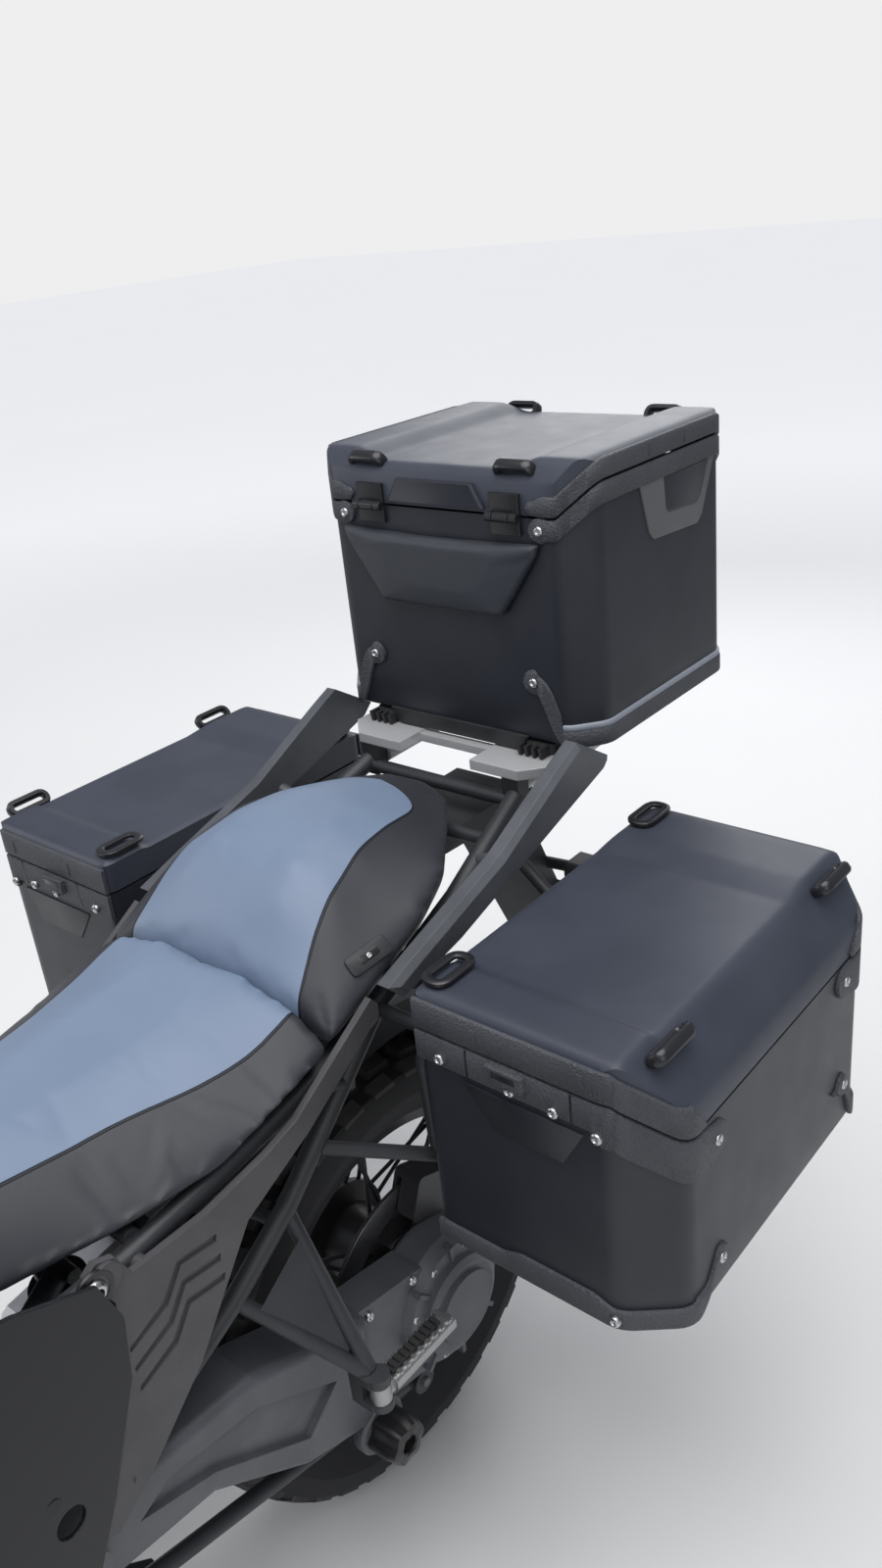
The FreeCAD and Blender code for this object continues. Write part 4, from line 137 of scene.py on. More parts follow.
bpy.context.scene.view_settings.view_transform = "Standard"


class Wire:
    """One output of a shader node. Arithmetic on it adds the Math nodes that work it out."""

    def __init__(self, finish, socket):
        self.finish = finish
        self.socket = socket

    def maths(self, operation, *values):
        return self.finish.node("ShaderNodeMath", {"operation": operation}, list(values))

    def __add__(self, other):
        return self.maths("ADD", self, other)

    def __radd__(self, other):
        return self.maths("ADD", other, self)

    def __mul__(self, other):
        return self.maths("MULTIPLY", self, other)

    def __rmul__(self, other):
        return self.maths("MULTIPLY", other, self)

    def __abs__(self):
        return self.maths("ABSOLUTE", self)

    def above(self, edge, softness):
        """0 below the edge and 1 above it, over a soft step."""
        return self.finish.node("ShaderNodeMapRange", {"interpolation_type": "SMOOTHSTEP"},
                                [self, edge - softness / 2, edge + softness / 2, 0.0, 1.0])


class Finish:
    """One material, built from wires. Sockets that stay the same all over are set by name."""

    def __init__(self, name, **sockets):
        self.material = bpy.data.materials.new(name)
        self.material.use_nodes = True
        self.tree = self.material.node_tree
        self.shader = self.tree.nodes["Principled BSDF"]
        self.point = self.node("ShaderNodeTexCoord", {}, [], "Object")
        for key, value in sockets.items():
            self.join(self.shader.inputs[key.replace("_", " ")], value)

    def join(self, socket, value):
        if isinstance(value, Wire):
            self.tree.links.new(value.socket, socket)
        elif hasattr(socket.default_value, "__len__"):
            socket.default_value = (tuple(value) + (1,))[:len(socket.default_value)]
        else:
            socket.default_value = value

    def node(self, kind, settings, inputs, output=0):
        """Any node: its settings first, then its sockets by order, or by name from a dict."""
        made = self.tree.nodes.new(kind)
        for key, value in settings.items():
            setattr(made, key, value)
        pairs = inputs.items() if isinstance(inputs, dict) else enumerate(inputs)
        for key, value in pairs:
            self.join(made.inputs[key], value)
        return Wire(self, made.outputs[output])

    def noise(self, scale, detail=2.0, rough=0.5):
        return self.node("ShaderNodeTexNoise", {}, {"Vector": self.point, "Scale": scale, "Detail": detail,
                                                    "Roughness": rough}, "Fac")

    def cells(self, scale):
        return self.node("ShaderNodeTexVoronoi", {}, {"Vector": self.point, "Scale": scale}, "Distance")

    def blend(self, share, first, second):
        """A colour that goes from the first to the second."""
        mix = self.tree.nodes.new("ShaderNodeMix")
        mix.data_type = "RGBA"
        for socket, value in ((mix.inputs[0], share), (mix.inputs[6], first), (mix.inputs[7], second)):
            self.join(socket, value)
        return Wire(self, mix.outputs[2])

    def use(self, **links):
        for key, value in links.items():
            self.join(self.shader.inputs[key.replace("_", " ")], value)
        return self

    def relief(self, height, depth, edge_round=0.0):
        """Bump of a real depth in metres, over edges that catch light as if rounded."""
        inputs = {"Strength": 1.0, "Distance": depth, "Height": height}
        if edge_round:
            inputs["Normal"] = self.node("ShaderNodeBevel", {"samples": 4}, {"Radius": edge_round})
        self.join(self.shader.inputs["Normal"], self.node("ShaderNodeBump", {}, inputs))
        return self

    def paint(self, *things):
        for thing in things:
            thing.data.materials.clear()
            thing.data.materials.append(self.material)
        return self

    def cover(self, *names):
        """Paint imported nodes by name."""
        return self.paint(*[nodes[name] for name in names])


floor_paint = Finish("floor_paint", Roughness=0.9, Emission_Strength=1.0)
floor_clouds = floor_paint.noise(0.8, 4).above(0.5, 0.6)
# the far floor is out of the lamps' reach: what the camera sees of it fades to the pale background
far_off = floor_paint.node("ShaderNodeVectorMath", {"operation": "LENGTH"}, [floor_paint.point], "Value")
camera_sees = floor_paint.node("ShaderNodeLightPath", {}, {}, "Is Camera Ray")
fade = far_off.above(FADE_REACH, FADE_WIDTH) * camera_sees
floor_paint.use(Base_Color=floor_paint.blend(floor_clouds, FLOOR_COLOUR, FLOOR_CLOUDS),
                Emission_Color=floor_paint.blend(fade, (0, 0, 0), FAR_FLOOR_GLOW)).paint(floor)


# Powder-coated steel frame.
# The main frame, rear frame, stands, crash bars and case racks are welded tube and cast plates under
# a satin black powder coat: fine orange peel, cloudy paler patches, and edges that catch light as if
# rounded.
def powder_coat(name, colour, roughness, grain=900, depth=0.00012, edge=0.0012, dust=0.35):
    """Satin powder coat: fine peel, cloudy sheen and a little dust in its colour."""
    coat = Finish(name, Specular_IOR_Level=0.42)
    cloud = coat.noise(7, 5, 0.6).above(0.52, 0.35)
    pale = tuple(c * (1 + dust) + 0.006 for c in colour)
    coat.use(Base_Color=coat.blend(cloud * 0.8, colour, pale),
             Roughness=coat.noise(24, 3) * 0.12 + (roughness - 0.06))
    return coat.relief(coat.noise(grain, 2), depth, edge)


frame_coat = powder_coat("frame_powder_coat", (0.022, 0.023, 0.026), 0.46)
frame_coat.cover("main_frame", "centre_stand", "side_stand", "crash_bars", "case_racks", "rear_subframe")


# Stainless button-head screws.
# Every screw of the cases, trims and castings is the same kind: a domed head with a hexagon socket.
# One head is turned, and Geometry Nodes set it at each spot, facing out of its surface.
HEAD_SIDES = 18
# radius and height of the head's section, as shares of its radius; the last two are in the socket
HEAD_SECTION = ((1.0, -0.2), (1.0, 0.22), (0.93, 0.42), (0.74, 0.6), (0.5, 0.68), (0.46, 0.62), (0.44, 0.3))
SOCKET_REACH = 0.48
SOCKET_FLAT = 0.9


def polished(name, sheen, skin=None, **sockets):
    """A finish with a drifting sheen, as noise scale, detail, spread and base, over a fine skin."""
    finish = Finish(name, **sockets)
    scale, detail, spread, base = sheen
    finish.use(Roughness=finish.noise(scale, detail) * spread + base)
    if skin:
        grain, grain_detail, *depth_and_edge = skin
        finish.relief(finish.noise(grain, grain_detail), *depth_and_edge)
    return finish


def ring_faces(rings, sides, joined=False):
    """Quads between rings of points that follow one another; the last may join up with the first."""
    faces = []
    for ring in range(rings if joined else rings - 1):
        low = ring * sides
        high = (ring + 1) % rings * sides
        for k in range(sides):
            after = (k + 1) % sides
            faces.append((low + k, low + after, high + after, high + k))
    return faces


def screw_head():
    verts = []
    for radius, height in HEAD_SECTION:
        for k in range(HEAD_SIDES):
            angle = 2 * math.pi * k / HEAD_SIDES
            reach = radius
            if radius < SOCKET_REACH:
                reach *= SOCKET_FLAT / math.cos((angle + math.pi / 6) % (math.pi / 3) - math.pi / 6)
            verts.append((reach * math.cos(angle), reach * math.sin(angle), height))
    socket_floor = tuple(range(len(verts) - HEAD_SIDES, len(verts)))
    mesh = mesh_from("screw_head", verts, ring_faces(len(HEAD_SECTION), HEAD_SIDES) + [socket_floor])
    mesh.shade_smooth()
    return new_object("screw_head", mesh)


def tree_with(name, sockets):
    """A Geometry Nodes tree with the named inputs: the tree, its inputs' outlets and its end."""
    tree = bpy.data.node_groups.new(name, "GeometryNodeTree")
    tree.interface.new_socket("Geometry", in_out="INPUT", socket_type="NodeSocketGeometry")
    for key, kind in sockets.items():
        tree.interface.new_socket(key, in_out="INPUT", socket_type="NodeSocket" + kind)
    tree.interface.new_socket("Geometry", in_out="OUTPUT", socket_type="NodeSocketGeometry")
    return tree, tree.nodes.new("NodeGroupInput").outputs, tree.nodes.new("NodeGroupOutput").inputs[0]


def step_in(tree, kind, inputs, **settings):
    """The outlets of a new node: its settings first, then each input as a value or another's outlet."""
    made = tree.nodes.new(kind)
    for key, value in settings.items():
        setattr(made, key, value)
    for key, value in inputs.items():
        if isinstance(value, bpy.types.NodeSocket):
            tree.links.new(value, made.inputs[key])
        else:
            made.inputs[key].default_value = value
    return made.outputs


def settled(thing):
    """Keep what the modifiers of a piece make of it, and take them away."""
    graph = bpy.context.evaluated_depsgraph_get()
    mesh = bpy.data.meshes.new_from_object(thing.evaluated_get(graph))
    thing.modifiers.clear()
    thing.data = mesh
    return thing


def grown(thing, tree, values):
    """The same object with the mesh that a tree makes of it with these inputs."""
    modifier = thing.modifiers.new("grow", "NODES")
    modifier.node_group = tree
    for item in tree.interface.items_tree:
        if item.item_type == "SOCKET" and item.in_out == "INPUT" and item.name in values:
            modifier[item.identifier] = values[item.name]
    return settled(thing)


screw_tree, given, result = tree_with("set_screws", {"Head": "Object", "Head radius": "Float",
                                                     "Finish": "Material"})
head_info = step_in(screw_tree, "GeometryNodeObjectInfo", {"Object": given["Head"], "As Instance": True})
facing = step_in(screw_tree, "GeometryNodeInputNamedAttribute", {"Name": "facing"},
                 data_type="FLOAT_VECTOR")
aimed = step_in(screw_tree, "FunctionNodeAlignRotationToVector", {"Vector": facing["Attribute"]}, axis="Z")
set_heads = step_in(screw_tree, "GeometryNodeInstanceOnPoints",
                    {"Points": given["Geometry"], "Instance": head_info["Geometry"],
                     "Rotation": aimed["Rotation"], "Scale": given["Head radius"]})
realised = step_in(screw_tree, "GeometryNodeRealizeInstances", {"Geometry": set_heads["Instances"]})
coated = step_in(screw_tree, "GeometryNodeSetMaterial",
                 {"Geometry": realised["Geometry"], "Material": given["Finish"]})
screw_tree.links.new(coated["Geometry"], result)
head = screw_head()
stainless = polished("stainless_screw", (300, 2, 0.25, 0.16), Base_Color=(0.5, 0.5, 0.5), Metallic=1.0)


def screws(name, body, spots, radius):
    """One object of screw heads for a body. Each spot is a point and the way that it faces."""
    cloud = mesh_from(name, [spot for spot, way in spots], [])
    faced = cloud.attributes.new("facing", "FLOAT_VECTOR", "POINT")
    faced.data.foreach_set("vector", [c for spot, way in spots for c in Vector(way).normalized()])
    inputs = {"Head": head, "Head radius": radius, "Finish": stainless.material}
    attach(grown(new_object(name, cloud), screw_tree, inputs), body)


# Flat-twin engine.
# Crankcase and gearbox are sand-cast light alloy painted dark grey; the barrels stand out at both
# sides, finned, with a ribbed rocker cover held by screws.
def cast_paint(name, colour, roughness=0.5, depth=0.00025):
    """Painted casting: sandy skin, pits and slightly glossier high spots."""
    casting = Finish(name, Specular_IOR_Level=0.45)
    skin = casting.noise(420, 4, 0.6)
    cloud = casting.noise(11, 4, 0.6).above(0.5, 0.4)
    pale = tuple(c * 1.5 + 0.004 for c in colour)
    casting.use(Base_Color=casting.blend(cloud * 0.7, colour, pale),
                Roughness=roughness - 0.08 + skin * 0.2)
    return casting.relief(skin, depth, 0.0016)


cast_paint("engine_paint", (0.055, 0.057, 0.062)).cover("engine_case", "cylinders")
CYLINDER_X = 0.93
CYLINDER_Z = 0.47
COVER_Y = 0.3925
COVER_SCREW_X = 0.068
COVER_SCREW_Z = 0.058
screws("cover_screws", "root",
       [(place(CYLINDER_X + dx, side * COVER_Y, CYLINDER_Z + dz), (0, side, 0)) for side in (LEFT, RIGHT)
        for dx in (-COVER_SCREW_X, COVER_SCREW_X) for dz in (-COVER_SCREW_Z, COVER_SCREW_Z)], 0.0075)


# Shaft drive on its single arm.
# Swing arm and bevel box are matt black castings joined behind the engine; the box carries the rear
# wheel's hub, a round cap and a protector knob bolted on below the passenger's peg.
drive_cast = cast_paint("drive_cast", (0.07, 0.073, 0.082), 0.42, 0.0003).cover("swing_arm", "final_drive")
powder_coat("spring_black", (0.018, 0.018, 0.02), 0.34).cover("shock")
frame_coat.cover("torque_rod")
ALONG = (1, 0, 0)
ACROSS = (0, 1, 0)
UP = (0, 0, 1)


def moulded(name, colour, roughness, grain, depth):
    """Plain moulded plastic or rubber under a fine grain."""
    finish = Finish(name, Base_Color=colour, Roughness=roughness)
    return finish.relief(finish.noise(grain), depth)


def softened_over(mesh, angle):
    """Smooth faces, with sharp edges where two meet at more than this angle."""
    mesh.shade_smooth()
    mesh.set_sharp_from_angle(angle=math.radians(angle))


def shown(name, verts, faces, sharp=30):
    """A new object from points and faces, with outward normals, soft over small angles."""
    mesh = mesh_from(name, verts, faces)
    work = bmesh.new()
    work.from_mesh(mesh)
    bmesh.ops.remove_doubles(work, verts=work.verts, dist=1e-6)
    bmesh.ops.recalc_face_normals(work, faces=work.faces)
    work.to_mesh(mesh)
    work.free()
    softened_over(mesh, sharp)
    return new_object(name, mesh)


def turned(name, section, centre, axis, sides=48, closed=True, wobble=None):
    """A turned piece: (radius, height) of its section, from outside to inside, about an axis.

    wobble(angle, radius) scales the reach of the section's points, for lobes.
    """
    verts = []
    for radius, height in section:
        for k in range(sides):
            angle = 2 * math.pi * k / sides
            reach = radius * (wobble(angle, radius) if wobble else 1)
            verts.append(Vector((reach * math.cos(angle), reach * math.sin(angle), height)))
    faces = ring_faces(len(section), sides)
    if closed:
        faces += [tuple(range(len(verts) - sides, len(verts))), tuple(reversed(range(sides)))]
    spin = Vector(UP).rotation_difference(Vector(axis)).to_matrix()
    return shown(name, [spin @ v + Vector(centre) for v in verts], faces)


def fitted(piece, coat, body, node=None):
    """Coat a piece and let it ride on its body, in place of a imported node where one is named."""
    coat.paint(piece)
    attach(piece, body)
    if node:
        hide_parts(node)


KNOB_X = 0.156
KNOB_Z = 0.268
DRIVE_FACE_Y = 0.146
CAP_Y = 0.1585
CAP_BOLT_CIRCLE = 0.075
CAP_BOLTS = 8
FIRST_BOLT = math.radians(22)
FLANGE_THICKNESS = 0.02
KNOB_LOBES = 6
KNOB_BOLT_RADIUS = 0.012
KNOB_FLANGE = ((0.034, 0.0), (0.036, 0.004), (0.036, 0.016), (0.033, 0.02), (0.012, 0.021))
KNOB = ((0.027, 0.0), (0.029, 0.004), (0.028, 0.03), (0.024, 0.04), (0.0135, 0.042), (0.011, 0.04),
        (0.0105, 0.03))
CAP_RING = ((0.055, 0.0), (0.056, 0.006), (0.053, 0.011), (0.045, 0.011), (0.043, 0.004), (0.04, 0.002))
knob_black = moulded("knob_black", (0.012, 0.012, 0.013), 0.34, 700, 0.00008)


def lobes(angle, radius):
    return 1 + 0.09 * math.cos(KNOB_LOBES * angle) if radius > KNOB_BOLT_RADIUS else 1


fitted(turned("knob_flange", KNOB_FLANGE, place(KNOB_X, DRIVE_FACE_Y, KNOB_Z), ACROSS), drive_cast, "root")
fitted(turned("protector_knob", KNOB, place(KNOB_X, DRIVE_FACE_Y + FLANGE_THICKNESS, KNOB_Z), ACROSS, 72,
              wobble=lobes), knob_black, "root")
fitted(turned("hub_cap_ring", CAP_RING, place(0, CAP_Y, AXLE_Z), ACROSS, 64), knob_black, "root")
# x and z of the screws round the hub's cap, then of those along the housing
CAP_SCREWS = [(CAP_BOLT_CIRCLE * math.cos(a), AXLE_Z + CAP_BOLT_CIRCLE * math.sin(a))
              for a in (FIRST_BOLT + 2 * math.pi * k / CAP_BOLTS for k in range(CAP_BOLTS))]
HOUSING_SCREWS = ((0.135, 0.42), (0.138, 0.30), (0.06, 0.41))
screws("drive_screws", "root",
       [(place(x, DRIVE_FACE_Y + 0.008, z), ACROSS) for x, z in CAP_SCREWS]
       + [(place(x, DRIVE_FACE_Y + 0.001, z), ACROSS) for x, z in HOUSING_SCREWS], 0.0065)


# Left and right side cases.
# Folded and welded alloy sheet under blue-black powder coat: an open box and a lid with raised ends,
# both edged with thick grained plastic rims that wrap the ends, screwed on through round tabs.
case_sheet = powder_coat("case_sheet", (0.014, 0.016, 0.023), 0.42, 1500, 0.00005, 0.0, 0.18)
# the lids wear the boxes' coat painted lighter: a painted reflection of the sky on their tops
lid_sheet = powder_coat("lid_sheet", (0.032, 0.037, 0.053), 0.46, 1500, 0.00005, 0.0, 0.15)
loop_black = moulded("moulded_loop", (0.014, 0.014, 0.016), 0.3, 800, 0.00008)
rim_plastic = Finish("grained_rim", Specular_IOR_Level=0.4)
rim_grain = rim_plastic.cells(430)
rim_clouds = rim_plastic.noise(9, 3).above(0.5, 0.5)
rim_plastic.use(Base_Color=rim_plastic.blend(rim_clouds, (0.046, 0.049, 0.058), (0.062, 0.065, 0.074)),
                Roughness=rim_grain * 0.25 + 0.42)
rim_plastic.relief(rim_grain + rim_plastic.noise(900, 2) * 0.4, 0.0009)
SIDES = ((LEFT, "left"), (RIGHT, "right"))
WALL = 0.003
FLOOR_BEND = 0.009
FOLD_ANGLE = 38
SPLIT_LINE = 0.0014
LID_GRID = 0.0045
RIM_PROUD = 0.004
# the left case: its front, rear, inner and outer sides, floor, split, top, cut corners and lid's skirt
SIDE = {"front": 0.098, "rear": -0.360, "inner": 0.247, "outer": 0.527, "floor": 0.578, "split": 0.850,
        "top": 0.898, "cut_x": 0.042, "cut_y": 0.054, "skirt": 0.046}
SIDE_CORNER = SIDE["outer"] - SIDE["cut_y"]
SIDE_BEND = 0.014
SIDE_PLAN = [(SIDE["front"], SIDE["inner"]), (SIDE["front"], SIDE_CORNER),
             (SIDE["front"] - SIDE["cut_x"], SIDE["outer"]), (SIDE["rear"] + SIDE["cut_x"], SIDE["outer"]),
             (SIDE["rear"], SIDE_CORNER), (SIDE["rear"], SIDE["inner"])]
# x and height below the top of the lid's section: rounded ends, raised ends and the trough
LID_ALONG = ((-0.360, -0.020), (-0.357, -0.009), (-0.348, -0.002), (-0.338, 0), (-0.276, 0),
             (-0.232, -0.009), (0.030, -0.009), (0.042, 0), (0.080, 0), (0.089, -0.002), (0.095, -0.006),
             (0.098, -0.014))
# y and height below the top: bent inner edge, flat, then the long slope down to the outer side
LID_ACROSS = ((0.247, -0.010), (0.251, -0.003), (0.257, 0), (0.478, 0), (0.520, -0.052), (0.527, -0.066))


def rounded_outline(corners, bend, steps=5):
    """Points round a closed outline with each corner bent to an arc that reaches `bend` each way."""
    points = []
    for before, corner, after in zip(corners[-1:] + corners[:-1], corners, corners[1:] + corners[:1]):
        corner = Vector(corner)
        came = (Vector(before) - corner).normalized() * bend
        goes = (Vector(after) - corner).normalized() * bend
        for k in range(steps + 1):
            share = k / steps
            points.append(corner + came * (1 - share) ** 2 + goes * share ** 2)
    return points


def walked(points, step):
    """The open line through points, cut into runs of about one step."""
    line = [points[0]]
    for start, end in zip(points, points[1:]):
        count = max(1, round((end - start).length / step))
        line += [start.lerp(end, (k + 1) / count) for k in range(count)]
    return line


def ramp(value, low, high):
    """0 up to low, 1 from high, and a soft S between."""
    share = min(max((value - low) / (high - low), 0), 1)
    return share * share * (3 - 2 * share)


def through(table, value):
    """The height of a line through (place, height) pairs."""
    if value <= table[0][0]:
        return table[0][1]
    for (a, first), (b, second) in zip(table, table[1:]):
        if value <= b:
            return first + (second - first) * (value - a) / (b - a)
    return table[-1][1]


def softened(table, value, reach):
    """The same line with its corners rounded off over a reach."""
    return sum(through(table, value + reach * d) for d in (-1, -0.5, 0, 0.5, 1)) / 5


def middle_of(outline):
    return sum((Vector(p) for p in outline), Vector((0, 0))) / len(outline)


def pressed_lid(name, outline, height, foot):
    """A lid of one sheet: its roof follows height(x, y), its skirt goes down to foot(x, y)."""
    work = bmesh.new()
    low_x = min(p.x for p in outline)
    low_y = min(p.y for p in outline)
    length = max(p.x for p in outline) - low_x
    width = max(p.y for p in outline) - low_y
    columns = round(length / LID_GRID)
    rows = round(width / LID_GRID)
    grid = [[work.verts.new((low_x + length * i / columns, low_y + width * j / rows, 0))
             for j in range(rows + 1)] for i in range(columns + 1)]
    for i in range(columns):
        for j in range(rows):
            work.faces.new((grid[i][j], grid[i + 1][j], grid[i + 1][j + 1], grid[i][j + 1]))
    middle = middle_of(outline)
    for a, b in zip(outline, outline[1:] + outline[:1]):
        way = b - a
        if way.length < 1e-6:
            continue
        out = Vector((way.y, -way.x))
        if out.dot(a - middle) < 0:
            out = -out
        everything = list(work.verts) + list(work.edges) + list(work.faces)
        bmesh.ops.bisect_plane(work, geom=everything, plane_co=(a.x, a.y, 0), plane_no=(out.x, out.y, 0),
                               clear_outer=True, dist=1e-6)
    for vert in work.verts:
        vert.co.z = height(vert.co.x, vert.co.y)
    hem = bmesh.ops.extrude_edge_only(work, edges=[e for e in work.edges if e.is_boundary])["geom"]
    for vert in hem:
        if isinstance(vert, bmesh.types.BMVert):
            vert.co.z = foot(vert.co.x, vert.co.y)
    return walled(name, work, 1)


def walled(name, work, flat_faces):
    """The open sheet in `work` with a wall inside it; its flat faces look up (1) or down (-1)."""
    bmesh.ops.recalc_face_normals(work, faces=work.faces)
    flattest = max(work.faces, key=lambda f: f.calc_center_median().z * f.normal.z ** 2)
    if flattest.normal.z * flat_faces < 0:
        bmesh.ops.reverse_faces(work, faces=work.faces)
    mesh = bpy.data.meshes.new(name)
    work.to_mesh(mesh)
    work.free()
    thing = new_object(name, mesh)
    wall = thing.modifiers.new("wall", "SOLIDIFY")
    wall.thickness = WALL
    wall.offset = -1
    softened_over(settled(thing).data, FOLD_ANGLE)
    return thing


def folded_box(name, outline, floor_z, rim):
    """The open box: a floor with a bent edge, and walls up to rim(x, y)."""
    work = bmesh.new()
    middle = middle_of(outline)
    loops = []
    for inset, lift in ((FLOOR_BEND, 0), (FLOOR_BEND * 0.3, FLOOR_BEND * 0.3), (0, FLOOR_BEND), (0, 0.05),
                        (0, 0.15), (0, None)):
        loop = []
        for p in outline:
            q = p + (middle - p).normalized() * inset
            loop.append(work.verts.new((q.x, q.y, rim(p.x, p.y) if lift is None else floor_z + lift)))
        loops.append(loop)
    for low, high in zip(loops, loops[1:]):
        for k in range(len(low)):
            after = (k + 1) % len(low)
            work.faces.new((low[k], low[after], high[after], high[k]))
    work.faces.new(loops[0])
    return walled(name, work, -1)


def rim_band(name, body, line, spans, flip, proud=RIM_PROUD, coat=rim_plastic):
    """A thick band that lies on a case along a line of plan points, from low to high at each."""
    verts = []
    last = len(line) - 1
    for k, (p, (low, high)) in enumerate(zip(line, spans)):
        way = (line[min(k + 1, last)] - line[max(k - 1, 0)]).normalized()
        out = Vector((way.y, -way.x)) * flip
        soft = min(0.0016, max((high - low) * 0.4, 0.0001))
        for reach, z in ((-0.0012, low), (proud - soft, low), (proud, low + soft), (proud, high - soft),
                         (proud - soft, high), (-0.0012, high)):
            verts.append(place(p.x + out.x * reach, p.y + out.y * reach, z))
    ends = [tuple(range(6)), tuple(reversed(range(len(verts) - 6, len(verts))))]
    fitted(shown(name, verts, ends + ring_faces(len(line), 6), sharp=50), coat, body)


def level_plate(low_half, high_half, low, high):
    """A plate's outline: half widths of its lower and upper edge, and their heights."""
    return [(-low_half, low), (low_half, low), (high_half, high), (-high_half, high)]


# corners of a strap eye's bar, as shares of half its width and half its depth
BAR_SECTION = ((1, 0.55), (0.55, 1), (-0.55, 1), (-1, 0.55), (-1, -0.55), (-0.55, -1), (0.55, -1),
               (1, -0.55))


def strap_loop(name, body, centre, along, rise, length, height, bar, deep):
    """A moulded eye for a strap: a rounded bar bent to a flat ring, standing or lying."""
    along = Vector(along)
    rise = Vector(rise).normalized()
    deep_way = along.cross(rise)
    half_length = (length - bar) / 2
    half_height = (height - bar) / 2
    corners = level_plate(half_length, half_length, -half_height, half_height)
    ring_line = rounded_outline(corners, height * 0.34)
    verts = []
    for before, p, after in zip(ring_line[-1:] + ring_line, ring_line, ring_line[1:] + ring_line[:1]):
        way = (after - before).normalized()
        for a, b in BAR_SECTION:
            q = p + Vector((way.y, -way.x)) * (a * bar / 2)
            verts.append(centre + along * q.x + rise * q.y + deep_way * (b * deep / 2))
    faces = ring_faces(len(ring_line), len(BAR_SECTION), joined=True)
    fitted(shown(name, verts, faces, sharp=45), loop_black, body)


def slab(name, body, coat, outline, origin, right, out, thick, soft, up=UP):
    """A plate with bevelled edges: an outline in the plane of right and up, raised along out."""
    right, out, up = Vector(right), Vector(out), Vector(up)
    middle = middle_of(outline)
    verts = []
    for inset, lift in ((0, -0.001), (0, thick - soft), (soft * 0.35, thick - soft * 0.3), (soft, thick)):
        for p in outline:
            q = Vector(p) + (middle - Vector(p)).normalized() * inset
            verts.append(origin + right * q.x + up * q.y + out * lift)
    count = len(outline)
    ends = [tuple(range(count)), tuple(range(3 * count, 4 * count))]
    fitted(shown(name, verts, ends + ring_faces(4, count), sharp=40), coat, body)


def side_split(y):
    """Height of the side case's split: level at both ends, low on the outer side."""
    return SIDE["split"] - SIDE["skirt"] * min(max((abs(y) - SIDE_CORNER) / SIDE["cut_y"], 0), 1)


def side_roof(x, y):
    across_drop = softened(LID_ACROSS, abs(y), 0.003)
    depth = softened(LID_ALONG, x, 0.002)
    return SIDE["top"] + min(depth, across_drop) - 0.004 * math.exp(-abs(depth - across_drop) / 0.006)


def tab_span(past, low, high, tab_z, radius, reach):
    """Low and high edges of a rim that ends in a round tab, at a distance past the tab's bolt."""
    if past < 0:
        share = ramp(-past, 0, reach)
        return (tab_z - radius + (low - tab_z + radius) * share,
                tab_z + radius + (high - tab_z - radius) * share)
    half = math.sqrt(max(radius ** 2 - past ** 2, 0.0000004))
    return tab_z - half, tab_z + half


# heights of the base's rim, of the lid's and of the bottom corner's, and how much each gains further on
RIM_LOW = 0.034
RIM_DEEPER = 0.014
LID_RIM = 0.033
LID_RIM_FADE = 0.030
FOOT_RIM = 0.024
FOOT_SWELL = 0.008
FOOT_CLIMB = 0.026
# y over which the base's rim deepens, and over which the bottom corner's swells and thins again
DEEPENS = (0.452, 0.464)
SWELLS = (0.33, 0.36)
THINS = (0.44, 0.47)
# how far past the cut corner the bottom arm climbs
CLIMBS = (0.010, 0.052)
TIP_PAST_BOLT = 0.020
SIDE_TAB_RADIUS = 0.0195
FOOT_TAB_RADIUS = 0.015
SIDE_TAB_REACH = 0.028


